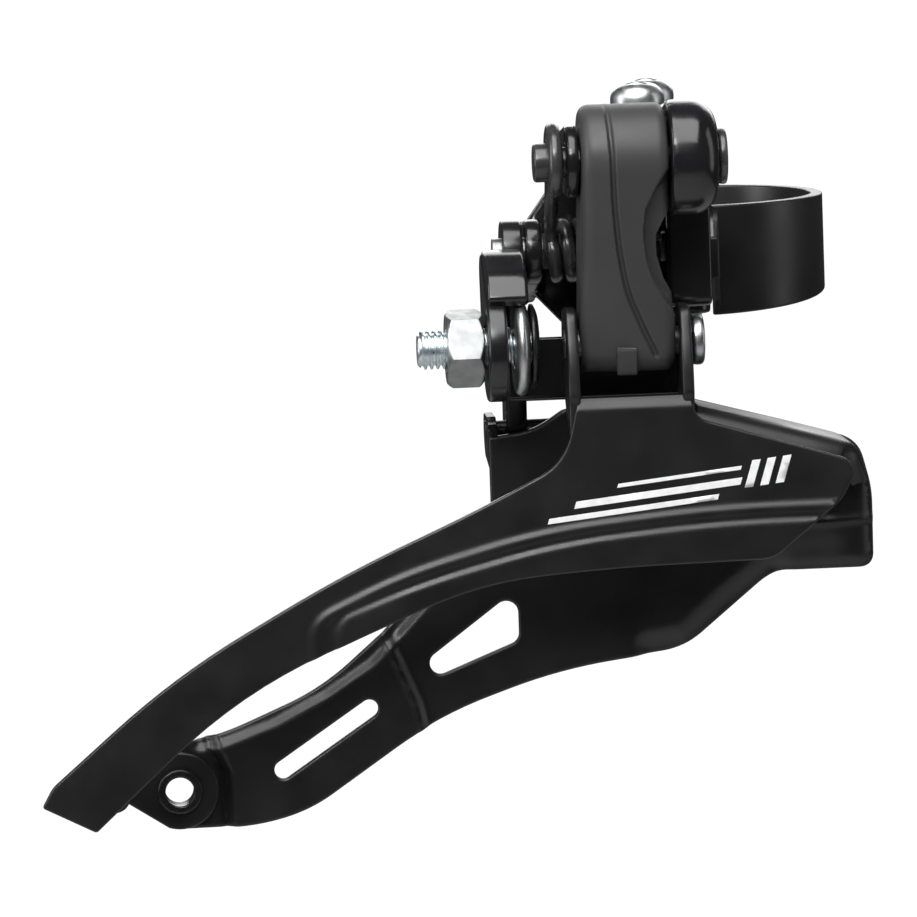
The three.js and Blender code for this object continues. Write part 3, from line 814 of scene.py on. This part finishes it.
def inner_relief(points):
    """The joggle at the tail, the ridge before the window, the rolled edges and the nose bead."""
    raised = step(side_of(points, JOGGLE), -0.6, 0.6) * (1 - step(side_of(points, RIDGE), -0.8, 0.8))
    depth = -0.9 * raised
    depth += 0.6 * (1 - step(np.abs(side_of(points, JOGGLE)), 0.2, 1.2))
    crease = np.abs(side_of(points, RIDGE))
    depth -= 0.35 * (1 - step(crease, 0.3, 1.1))
    upper = distance_to(points, UPPER_FLANGE)
    depth += 1 * (1 - step(upper, 0.2, 1.9))
    flare = distance_to(points, LOWER_FLARE)
    depth += 1.5 * (1 - step(flare, 0, 3.6)) ** 1.5
    bead = distance_to(points, [(9, -33.9), (30, -33.6)])
    depth -= 0.35 * (1 - step(bead, 0, 0.9)) * step(points[:, 0], 7, 12)
    tilt = step(-points[:, 1], 25, 34.5) - step(-points[:, 1], 34, 39.5)
    depth -= 1.1 * tilt * step(points[:, 0], 2, 12) * (1 - step(points[:, 0], 15, 20))
    nose = step(points[:, 0], 18.6, 21.4)
    depth += 1.1 * nose**2
    foot = step(-points[:, 1], 38, 40.2) * step(points[:, 0], 6, 10)
    depth += 0.8 * foot**2
    return depth


def inner_cage_plate():
    holes = [WINDOW, SLOT, circle(RIVET, EYELET_HOLE, 40)]
    face = sheet(INNER_OUTLINE, holes, SHEET, 0.4, 0.42, inner_relief)
    parts = [sheet_xz(face, INNER_FACE_Y)]
    bore = circle(D, INNER_PIN_RADIUS + PIN_GAP, 32)
    round_end = D + 3.8 * around(np.radians(np.linspace(150, -60, 24)))
    round_end[:, 1] = np.minimum(round_end[:, 1], -18.8)
    root = outline([
        (INNER_FACE_Y + SHEET - 0.2, -25.5), (INNER_FACE_Y + SHEET - 0.2, -31),
        (INNER_FACE_Y + 0.3, -31), (INNER_FACE_Y + 0.3, -21.6, 0.2), (INNER_FACE_Y, -20.6, 0.3),
        (INNER_FACE_Y, -19.2, 1),
    ])
    blade_loop = np.vstack([round_end, root])
    for left_x in (-28.3, -5):
        parts.append(sheet_yz(sheet(blade_loop, [bore], SHEET, 0.25, 0.5), left_x))
    parts.append(nose_hood())
    add_piece(
        "inner_cage_stamping", merge(*parts), "cage", PLATE_PAINT, ["inner_cage_plate"]
    )


def nose_hood():
    """The sheet that bridges the two plates over the chain: a curved roof with a rounded front edge."""
    line = outline([(-1.9, -17.3), (9.9, -20.5, 3), (18.8, -23.1, 4), (20.6, -28.4)], 8)
    tangent = np.gradient(line, axis=0)
    tangent /= np.linalg.norm(tangent, axis=1)[:, None]
    down = np.column_stack([tangent[:, 1], -tangent[:, 0]])
    back = INNER_FACE_Y + SHEET
    turns = np.linspace(0, np.pi / 2, 10)
    stack = []
    for place, lower in zip(line, down):
        retreat = float(step(place[0], 16.5, 20.6))
        front = OUTER_FACE_Y + SHEET + 0.4 + 8.4 * retreat
        roll = 3.2 - 2 * retreat
        outer = [(front + roll * (1 - math.sin(t)), roll * (1 - math.cos(t))) for t in turns[::-1]]
        profile = [*outer, (back, 0), (back, SHEET), *((y, drop + SHEET) for y, drop in reversed(outer))]
        stack.append(np.array([
            (place[0] + lower[0] * drop, y, place[1] + lower[1] * drop) for y, drop in profile
        ]))
    return rings(stack)


def tail_eyelet():
    """A tubular rivet rolled over at both ends."""
    front, back = RIVET_LOW[1], RIVET_HIGH[1]
    profile = outline([
        (1.85, front, 0.35), (2.9, front, 0.5), (2.9, front + 0.75, 0.2), (2.3, front + 0.75, 0),
        (2.3, back - 0.65, 0), (2.9, back - 0.65, 0.2), (2.9, back, 0.4), (1.85, back, 0.3),
    ], 5)
    mesh = turned(profile, bore=True)
    add_piece("tail_eyelet", along_y(mesh, RIVET), "cage", BLACK_OXIDE, ["tail_rivet"])


# ---- outer link

GROOVE = outline([
    (-12.9, 21.9), (-12.6, 15.8, 3), (-12.5, 10.5, 3), (-11.9, 3.5, 3), (-10.8, -2.2, 2),
    (-9, -6.5, 2), (-7.2, -10.4),
], 6)
SCOOP = [
    (-4.5, 14.5), (-6, 13.3), (-7.3, 11.3), (-8.6, 8.6), (-8.9, 5.4), (-8.5, 2.2), (-7.7, -0.5),
    (-6.1, -3.2), (-4, -6.2),
]
DEEP_SCOOP = [(-4.5, 9.3), (-6, 7.3), (-7.1, 5.2), (-7, 2.5), (-6.1, -0.5), (-4, -4.2)]
LINK_CREASE = 50


def right_of(points, line):
    """Distance to the right of a line that runs downward, zero on its left."""
    closed = np.array([*line, (4, line[-1][1]), (4, line[0][1])])
    return np.where(inside(points, closed), distance_to(points, line), 0)


def outer_link():
    """The moulded link: a rounded block with a groove down its front, a scooped side and a tab."""
    head = A + np.array([-0.7, 0.3])
    loop = subdivide(dogbone(head, 6.9, B, 3.8, 40), 0.35)
    low, high = box_mm("outer_link")
    left, right = low[0] + 0.5, -5.4
    points, faces = bar(loop, left, right, 1.3, stations=70, rim_steps=6)
    middle = (left + right) / 2
    stretch = np.where(points[:, 0] < middle, 0.6, 0.8) * step(-points[:, 2], -6, 10)
    points[:, 0] += (points[:, 0] - middle) / (right - middle) * stretch
    front = step(points[:, 1], B[0] + 3, B[0] - 0.4)
    groove_x = np.interp(-points[:, 2], -GROOVE[:, 1], GROOVE[:, 0])
    points[:, 1] += 0.22 * np.clip(groove_x - points[:, 0], 0, 6) * front
    facing = np.column_stack([points[:, 0], points[:, 2]])
    groove = distance_to(facing, GROOVE)
    points[:, 1] += 0.6 * (1 - step(groove, 0.08, 0.5)) * front
    points[:, 1] += 1.7 * step(right_of(facing, SCOOP), 0, 0.4) * front
    tab_loop = outline([(-40.3, -13, 0.4), (-39.4, -13, 0.4), (-39.4, -8.8), (-41.4, -9.8)])
    tab = bar(tab_loop, -12.2, -9.6, 0.2)
    piece = add_piece(
        "outer_link_moulding", merge((points, faces), tab), "outer_link", RESIN,
        ["outer_link"], LINK_CREASE,
    )
    pocket = outline([(-40.2, 7.5, 1), (-38.6, -3.2, 1), (-30, -3.2, 0), (-30, 7.5, 0)])
    bore = rod(PIN_RADIUS + PIN_GAP, low[0] - 2, high[0] + 2)
    notch_loop = np.array([*DEEP_SCOOP, (2, DEEP_SCOOP[-1][1]), (2, DEEP_SCOOP[0][1])])
    notch = sheet_xz(sheet(notch_loop, [], 20, 0.05, 1), -52)
    carve(piece, [along_x(bore, A), along_x(bore, B), bar(pocket, -13.6, -7.6, 0.4), notch], LINK_CREASE)


# ---- inner link, lever and anchor


SWING = 42


def inner_link():
    """Two arms, the web that joins them, and a stop that meets the limit screws at full swing."""
    low, high = box_mm("inner_link")
    arm_loop = dogbone(C, 4.2, D, 3.6)
    holes = [circle(C, PIN_RADIUS + PIN_GAP), circle(D, INNER_PIN_RADIUS + PIN_GAP)]
    right_arm = (-9, -5.4)
    left = sheet_yz(sheet(arm_loop, holes, 2.7, 0.4, 0.6), low[0])
    right = sheet_yz(sheet(arm_loop, holes, right_arm[1] - right_arm[0], 0.4, 0.6), right_arm[0])
    web_loop = outline([(-31, -8.6, 0.3), (-29.4, -8.6, 0.3), (-28, -16.8, 0.3), (-30.4, -16.8, 0.8)])
    web = bar(web_loop, low[0] + 0.4, high[0], 0.2)
    swing = math.radians(SWING)
    height = 5.2

    def swung(y, z):
        return (
            C[0] + y * math.cos(swing) - z * math.sin(swing),
            C[1] + y * math.sin(swing) + z * math.cos(swing),
        )

    head_loop = outline([
        (*swung(-3.6, height), 0.3), (*swung(2, height), 0.2), (C[0] + 5.4, C[1] + height, 0.4),
        (C[0] + 3.6, C[1] - 2), (C[0] - 3.8, C[1] - 1.6),
    ])
    head = bar(head_loop, *right_arm, 0.25)
    add_piece(
        "inner_link_pressing", merge(left, right, web, head), "inner_link", GLOSS_PAINT,
        ["inner_link"],
    )


def cable_lever():
    """A pressed plate that carries the cable anchor, with a flange along its top edge."""
    (left, *_), (right, *_) = box_mm("cable_lever")
    plate_loop = dogbone(ANCHOR, 7, (-32.8, -0.2), 3, 32)
    plate = sheet_yz(sheet(plate_loop, [circle(ANCHOR, 2.8)], 2.5, 0.45, 0.6), left)
    flange_loop = outline([
        (-42, -3.4, 0.3), (-42.9, -2.4, 0.5), (-41.4, 0.6, 1.6), (-36, 3, 2.5), (-33, 3.3, 0.6),
        (-33.3, 1.9, 0.3), (-34.7, 1.9, 0.5),
    ])
    flange = bar(flange_loop, left + 0.15, right, 0.5)
    add_piece(
        "cable_lever_pressing", merge(plate, flange), "inner_link", GLOSS_PAINT,
        ["cable_lever"],
    )


def thread(radius, pitch, start, end, sides=48):
    """A rolled screw thread along the first axis, with a chamfered free end at its start."""
    count = math.ceil((end - start) / pitch * 8)
    turn = full_turn(sides)
    stack = [ring(start, NEAR_AXIS, turn)]
    core = radius - 0.6 * pitch
    for height in np.linspace(start, end, count + 1):
        phase = (height / pitch - turn / (2 * np.pi)) % 1
        wave = np.clip(2.2 * (1 - np.abs(2 * phase - 1)) - 0.6, 0, 1)
        size = core + (radius - core) * wave
        size = np.minimum(size, core - 0.15 + (height - start) * 1.2)
        stack.append(ring(height, size, turn))
    stack.append(ring(end, NEAR_AXIS, turn))
    return rings(stack)


M5_RADIUS = 2.5
M5_PITCH = 0.8


def anchor_bolt():
    head_start = ANCHOR_HIGH[0] - 1
    screw = thread(M5_RADIUS, M5_PITCH, ANCHOR_LOW[0], head_start - 0.6)
    neck = rod(2.45, head_start - 1.2, head_start + 0.2, 0.05)
    corners = [(5.4, head_start, 0.3), (5.4, head_start + 0.45, 0.3), (4.2, ANCHOR_HIGH[0], 1)]
    head = turned(soft_profile(corners))
    add_piece(
        "anchor_bolt_screw", along_x(merge(screw, neck), ANCHOR), "inner_link", THREAD_ZINC,
        ["cable_anchor_bolt"], 30,
    )
    add_piece("anchor_bolt_head", along_x(head, ANCHOR), "inner_link", BLACK_OXIDE)


def anchor_washer():
    """A domed washer, its rim towards the lever."""
    (left, *_), (right, *_) = box_mm("cable_anchor_washer")
    profile = outline([
        (2.75, left - 0.4, 0.1), (5.9, left - 0.4, 0.8), (6.45, left + 0.3, 0.5),
        (6.2, left + 0.9, 0.5), (4.6, right + 0.1, 1), (2.75, right + 0.2, 0.2),
    ], 6)
    mesh = along_x(turned(profile, 72, bore=True), ANCHOR)
    add_piece("anchor_dished_washer", mesh, "inner_link", ZINC, ["cable_anchor_washer"])


def hex_nut(start, end, across_flats, bore_radius, turn_degrees, sides=144):
    """A hexagon nut about the first axis, chamfered at both ends."""
    turn = full_turn(sides)
    local = (turn - math.radians(turn_degrees) + np.pi / 6) % (np.pi / 3) - np.pi / 6
    flat = across_flats / 2 / np.cos(local)
    cone_gap = across_flats / 2 * (2 / math.sqrt(3) - 1)
    chamfer = cone_gap * 1.25
    length = end - start
    heights = np.concatenate([
        np.linspace(0, chamfer, 10), np.linspace(chamfer, length - chamfer, 6)[1:-1],
        np.linspace(length - chamfer, length, 10),
    ])
    stack = []
    for height in heights:
        cone = across_flats / 2 * 0.98 + min(height, length - height) / 0.8
        stack.append(ring(start + height, np.minimum(flat, cone), turn))
    sink = 0.35
    for height, grow in ((length, sink), (length - sink, 0), (sink, 0), (0, sink)):
        stack.append(ring(start + height, bore_radius + grow, turn))
    return closed_rings(stack)


def anchor_nut():
    mesh = along_x(hex_nut(NUT_LOW[0], NUT_HIGH[0], 9, M5_RADIUS + 0.06, 40), ANCHOR)
    add_piece("anchor_hex_nut", mesh, "inner_link", DIMMED_ZINC, ["cable_anchor_nut"], 24)


# ---- pins, screws and spring


def rivet(name, node, centre, radius, collars, material, body):
    """A riveted pin along X. Each collar is (radius, start, end, edge)."""
    low, high = box_mm(node)
    parts = [rod(radius, low[0] + 0.1, high[0] - 0.1, 0.1)]
    parts += [rod(*collar, 64) for collar in collars]
    add_piece(name, along_x(merge(*parts), centre), body, material, [node])


def pins():
    low, high = box_mm("upper_outer_pin")
    collars = [(2.5, low[0], low[0] + 3.8, 0.5), (3.6, high[0] - 1.1, high[0], 0.45)]
    rivet(
        "upper_outer_rivet", "upper_outer_pin", A, PIN_RADIUS, collars, DARK_PIN, "bracket"
    )
    low, high = box_mm("lower_outer_pin")
    head = rod(3.3, high[0] - 1.7, high[0], 0.7, 64)
    shank = rod(PIN_RADIUS, low[0] + 0.25, high[0] - 1.6, 0.1)
    add_piece("lower_outer_rivet", along_x(head, B), "cage", PIN_STEEL, ["lower_outer_pin"])
    add_piece("lower_outer_shank", along_x(shank, B), "cage", DARK_PIN)
    # Painted shade: the upper inner pin takes the darker zinc, which dims its end under the left softbox.
    rivet("upper_inner_rivet", "upper_inner_pin", C, PIN_RADIUS, [], DIMMED_ZINC, "bracket")
    end = box_mm("lower_inner_pin")[1][0]
    rivet(
        "lower_inner_rivet", "lower_inner_pin", D, INNER_PIN_RADIUS, [(2.6, end - 0.8, end, 0.3)],
        BLACK_OXIDE, "cage",
    )


def limit_screw(node, name):
    """A pan-head screw with a cross recess and a fine thread."""
    low, high = box_mm(node)
    centre = (low[:2] + high[:2]) / 2
    radius = (high[0] - low[0]) / 2
    under = high[2] - 2.9
    head = turned(soft_profile([
        (radius, under, 0.25), (radius, high[2] - 1.5, 0.9), (radius - 1.1, high[2] - 0.25, 1.2),
        (0.6, high[2], 0.4),
    ], 8), 72)
    piece = add_piece(name, along_z(head, centre), body_of(node), ZINC, [node], 40)
    wings = []
    for turn in (35, 125):
        c, s = math.cos(math.radians(turn)), math.sin(math.radians(turn))
        loop = rectangle(-1.9, -0.42, 1.9, 0.42, 0.1) @ np.array([[c, s], [-s, c]]) + centre
        wings.append(along_z(bar(loop, high[2] - 1.5, high[2] + 1, 0.05), (0, 0)))
    carve(piece, wings, 40)
    shank = thread(2, 0.7, low[2], under + 0.2, 40)
    add_piece(name + "_thread", along_z(shank, centre), body_of(node), ZINC, (), 30)


def body_of(node):
    bodies = RECORD["behaviour"]["bodies"]
    return next(body for body, members in bodies.items() if node in members)


def wire(name, points, radius, body, replaces):
    """Round spring wire along a smooth line through the points."""
    data = bpy.data.curves.new(name, "CURVE")
    data.dimensions = "3D"
    data.bevel_depth = radius * MM
    data.bevel_resolution = 5
    data.use_fill_caps = True
    data.resolution_u = 8
    spline = data.splines.new("BEZIER")
    spline.bezier_points.add(len(points) - 1)
    for knot, place in zip(spline.bezier_points, points):
        knot.co = Vector(place) * MM
        knot.handle_left_type = knot.handle_right_type = "AUTO"
    data.materials.append(SPRING_STEEL)
    piece = bpy.data.objects.new(name, data)
    bpy.context.scene.collection.objects.link(piece)
    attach(piece, body)
    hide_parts(*replaces)


WIRE_RADIUS = 0.9
COIL_RADIUS = 3.35
COIL_START_X = -19.3
COIL_PITCH = 2
COIL_FROM = 150
COIL_TURNS = 3
HOOK_RADIUS = 4.2
HOOK_X = -19.6


def wire_point(x, centre, radius, degrees):
    turn = math.radians(degrees)
    return (x, centre[0] + radius * math.cos(turn), centre[1] + radius * math.sin(turn))


def return_spring():
    """The hook round pivot A, the run down, and the coil about pivot C."""
    points = []
    for degrees in range(240, -31, -30):
        points.append(wire_point(HOOK_X, A, HOOK_RADIUS, degrees))
    points.append((HOOK_X, -35, 8))
    for degrees in range(COIL_FROM, COIL_FROM + 360 * COIL_TURNS + 1, 30):
        x = COIL_START_X + COIL_PITCH * (degrees - COIL_FROM) / 360
        points.append(wire_point(x, C, COIL_RADIUS, degrees))
    wire("return_spring_wire", points, WIRE_RADIUS, "bracket", ["return_spring"])


def return_spring_tail():
    """The working end, which turns with the inner link. Its start lies along the coil's last turn."""
    lap = 46
    x = COIL_START_X + COIL_PITCH * (COIL_TURNS + lap / 360)
    points = [
        wire_point(x, C, COIL_RADIUS, COIL_FROM + lap), (x, -31.3, -1.2), (x - 0.2, -31.9, -5),
        (x - 0.5, -32.4, -8.6), (x - 0.6, -32.4, -12.6),
    ]
    wire("return_spring_arm", points, WIRE_RADIUS, "inner_link", ["return_spring_tail"])


# ---- bracket


def hub(loop, start, end, round_end):
    """A bar along X whose far end is rounded off with a large radius."""
    turns = np.linspace(0, np.pi / 2, 14)
    heights = [(0.35, start), (0.1, start + 0.1), (0, start + 0.35)]
    heights += [(round_end * (1 - math.cos(t)), end - round_end * (1 - math.sin(t))) for t in turns]
    return stacked(loop, heights)


KNUCKLE_RADIUS = 2.7
HINGE_BORE = along_z(rod(1.58, -9, 9), HINGE)


def main_bracket():
    """The welded bracket: ear, hub, web, screw block, spring arm and the clamp's fixed half."""
    ear = bar(dogbone(A, 4.7, (-31, 14), 4), -18.2, -16.6, 0.3)
    head = hub(dogbone(A, 7.4, (-30, 14.6), 5.2, 40), -5.1, 1.3, 3.4)
    web = bar(outline([(-33.2, 13), (-33.2, -5.2, 1.5), (-25.4, -5.2), (-25.4, 13)]), -4.8, 1.1, 0.5)
    block_loop = outline([
        (-18.2, 9.6, 0.8), (1.3, 9.6, 0.8), (1.3, 18.6, 0.8), (-14.6, 18.6, 1.5), (-18.2, 16.8, 1),
    ])
    block = sheet_xz(sheet(block_loop, [], 6.6, 0.6, 3), -34.1)
    boss_loop = outline([(-11.6, 9.6, 0.5), (-2.8, 9.6, 0.5), (-2.8, 19.8, 1), (-11.6, 19.8, 1)])
    boss = sheet_xz(sheet(boss_loop, [], 14.5, 0.6, 3), -34.1)
    walls = [bar(rectangle(*ends, 0.3), x0, x1, 0.25) for x0, x1, *ends in (
        (-15, -10, -22.6, -5, -18, 11),
        (-4.8, 0.4, -26.4, 3.4, -18.6, 6.9),
        (-4.8, -3.3, -26.4, 3.4, -18.6, 11),
    )]
    shoulder_loop = outline([
        (-22.8, -2), (-22.8, 4.6, 1.5), (-18.2, 11, 1.5), (-14, 11), (-14, -7.6), (-17.6, -7.6),
    ])
    shoulder = sheet_xz(sheet(shoulder_loop, [], 3, 0.4, 2), -23.4)
    arm_loop = outline([
        (-28.2, -1.8), (-28.2, 6.6, 1), (-18, 4.6, 2), (4, 4), (4, -5.5, 3), (-16, -5.5, 4),
    ])
    arm = bar(arm_loop, -22.8, -20.6, 0.4)
    lug_round = along_x(rod(4.2, -22.8, -20.6, 0.4), C)
    bridge = sheet_xz(sheet(rectangle(-21.6, -5.5, -18.9, 4), [], 9, 0.3, 2), -5)
    pieces = [ear, head, web, block, boss, *walls, shoulder, arm, lug_round, bridge, *cradle()]
    piece = add_piece(
        "bracket_body", merge(*pieces), "bracket", GLOSS_PAINT, ["main_bracket"], weld=0
    )
    fuse(piece, 0.32, 3)
    gap_radius = KNUCKLE_RADIUS + 0.4
    gap_loop = rectangle(HINGE[0], HINGE[1] - gap_radius, 12, -17)
    bores = [
        along_z(rod(TUBE_RADIUS, -30, 30, 0.1, 128), (0, 0)),
        along_x(rod(PIN_RADIUS + 0.06, -19.5, 4), A),
        along_x(rod(PIN_RADIUS + 0.06, -25, 1), C),
        HINGE_BORE,
        along_z(rod(gap_radius, -3, 3, 0.05), HINGE),
        sheet_xy(sheet(gap_loop, [], 6, 0.05, 3), -3),
    ]
    for node in ("low_limit_screw", "high_limit_screw"):
        low, high = box_mm(node)
        bores.append(along_z(rod(2.08, 8, 22), (low[:2] + high[:2]) / 2))
    carve(piece, bores, 60)


def sector(inner, outer, from_degrees, to_degrees, ends, edge=0.3):
    """Part of a ring about Z, its rims rounded. ends(y) gives its low and high Z at each place."""
    steps = int((to_degrees - from_degrees) / 2)
    stack = []
    for turn in np.radians(np.linspace(from_degrees, to_degrees, steps)):
        low, high = ends(outer * math.sin(turn))
        across, height = rectangle(inner, low, outer, high, edge, 4).T
        stack.append(np.column_stack([across * math.cos(turn), across * math.sin(turn), height]))
    return rings(stack)


BOLT_CENTRE = (0, -0.5)
BOLT_PLACE = np.array([-2.6, 24.4])
BOLT_TILT = math.atan2(HINGE[0] - BOLT_PLACE[0], BOLT_PLACE[1] - HINGE[1])


def clamp_frame(mesh):
    """Moves a mesh drawn about the closing bolt to its place on the clamp."""
    points, faces = mesh
    c, s = math.cos(BOLT_TILT), math.sin(BOLT_TILT)
    x = BOLT_PLACE[0] + c * points[:, 0] - s * points[:, 1]
    y = BOLT_PLACE[1] + s * points[:, 0] + c * points[:, 1]
    return np.column_stack([x, y, points[:, 2]]), faces


def clamp_lug(x0, x1, hole):
    loop = outline([(-6, -5.3), (5, -5.3, 4), (5, 4.3, 4), (-6, 4.3)])
    return clamp_frame(sheet_yz(sheet(loop, [circle(BOLT_CENTRE, hole)], x1 - x0, 0.4, 0.8), x0))


SLIT = (-2.2, 0.8)
LUG = 4.2


def cradle():
    """The fixed half of the clamp with its hinge knuckles and lug."""
    wall = sector(TUBE_RADIUS - 0.4, 20.2, 104, 270, lambda y: (-5.5, 4))
    near = sector(TUBE_RADIUS - 0.4, 20.2, 222, 270, lambda y: (-6.9, 6.9))
    knuckle = along_z(rod(KNUCKLE_RADIUS, -6.9, 6.9, 0.3), HINGE)
    front = HINGE[1] - KNUCKLE_RADIUS
    root = outline([(-4.8, front, 0.3), (HINGE[0], front, 0.3), (HINGE[0], -18.6), (-4.8, -18.6)])
    foot = sheet_xy(sheet(root, [], 13.8, 0.3, 2), -6.9)
    lug = clamp_lug(SLIT[0] - LUG, SLIT[0], 3.1)
    return [wall, near, knuckle, foot, lug]


def clamp_band():
    """The moving strap of the clamp, wide at the hinge and narrow at the back."""
    def ends(y):
        low = np.interp(y, [-30, -19, 0, 22], [-8, -7.6, -5.8, -5.2])
        return low, np.interp(y, [-30, 22], [6.7, 6.9])

    strap = sector(TUBE_RADIUS, 19.2, -81.7, 84, ends, 0.35)
    knuckle = along_z(rod(KNUCKLE_RADIUS, -2.7, 2.7, 0.3), HINGE)
    root = outline([(HINGE[0], -20.5), (3.4, -20.5, 0.6), (3.4, -17), (HINGE[0], -17)])
    foot = sheet_xy(sheet(root, [], 5.4, 0.3, 2), -2.7)
    lug = clamp_lug(SLIT[1], SLIT[1] + LUG, 2.8)
    piece = add_piece(
        "clamp_strap", merge(strap, knuckle, foot, lug), "clamp_band", PLATE_PAINT,
        ["clamp_band"],
    )
    carve(piece, [along_z(rod(TUBE_RADIUS - 0.01, -30, 30, 0.1, 160), (0, 0)), HINGE_BORE])


def on_bolt(mesh):
    """Centres a turned mesh on the closing bolt."""
    return clamp_frame(along_x(mesh, BOLT_CENTRE))


def clamp_hardware():
    """The closing bolt, its washer and the hinge's rivet."""
    seat = SLIT[1] + LUG
    washer = turned(rectangle(2.8, seat + 0.1, 4.6, seat + 1.1, 0.15, 3), bore=True)
    add_piece(
        "clamp_bolt_seat_washer", on_bolt(washer), "clamp_band", ZINC, ["clamp_bolt_washer"]
    )
    head_start = seat + 1.2
    head = turned(soft_profile([(4.2, head_start, 0.3), (4.2, head_start + 5, 0.6)]))
    bolt = add_piece(
        "clamp_socket_bolt", on_bolt(head), "clamp_band", BLACK_OXIDE, ["clamp_bolt"]
    )
    carve(bolt, [on_bolt(bar(circle((0, 0), 2.3, 6), head_start + 2, head_start + 7, 0.05))])
    shank = thread(M5_RADIUS, M5_PITCH, SLIT[0] - LUG - 1.6, head_start + 0.1)
    add_piece("clamp_bolt_thread", on_bolt(shank), "clamp_band", BLACK_OXIDE, (), 30)
    pin = merge(rod(1.5, -7.6, 7.2, 0.2), rod(2.2, 7.1, 7.9, 0.35))
    add_piece("band_hinge_rivet", along_z(pin, HINGE), "bracket", PIN_STEEL, ["band_hinge_pin"])


# ---- the whole


def build():
    outer_cage_plate()
    cage_stripes()
    inner_cage_plate()
    tail_eyelet()
    outer_link()
    inner_link()
    cable_lever()
    anchor_bolt()
    anchor_washer()
    anchor_nut()
    pins()
    return_spring()
    return_spring_tail()
    limit_screw("low_limit_screw", "low_limit_pan_screw")
    limit_screw("high_limit_screw", "high_limit_pan_screw")
    main_bracket()
    clamp_band()
    clamp_hardware()
    bush = frame["nodes"]["spring_bush"]
    bush.data.materials.clear()
    bush.data.materials.append(NYLON)


bpy.context.scene.view_settings.view_transform = "Standard"
add_camera()
add_lights()
add_world()
add_floor()
build()
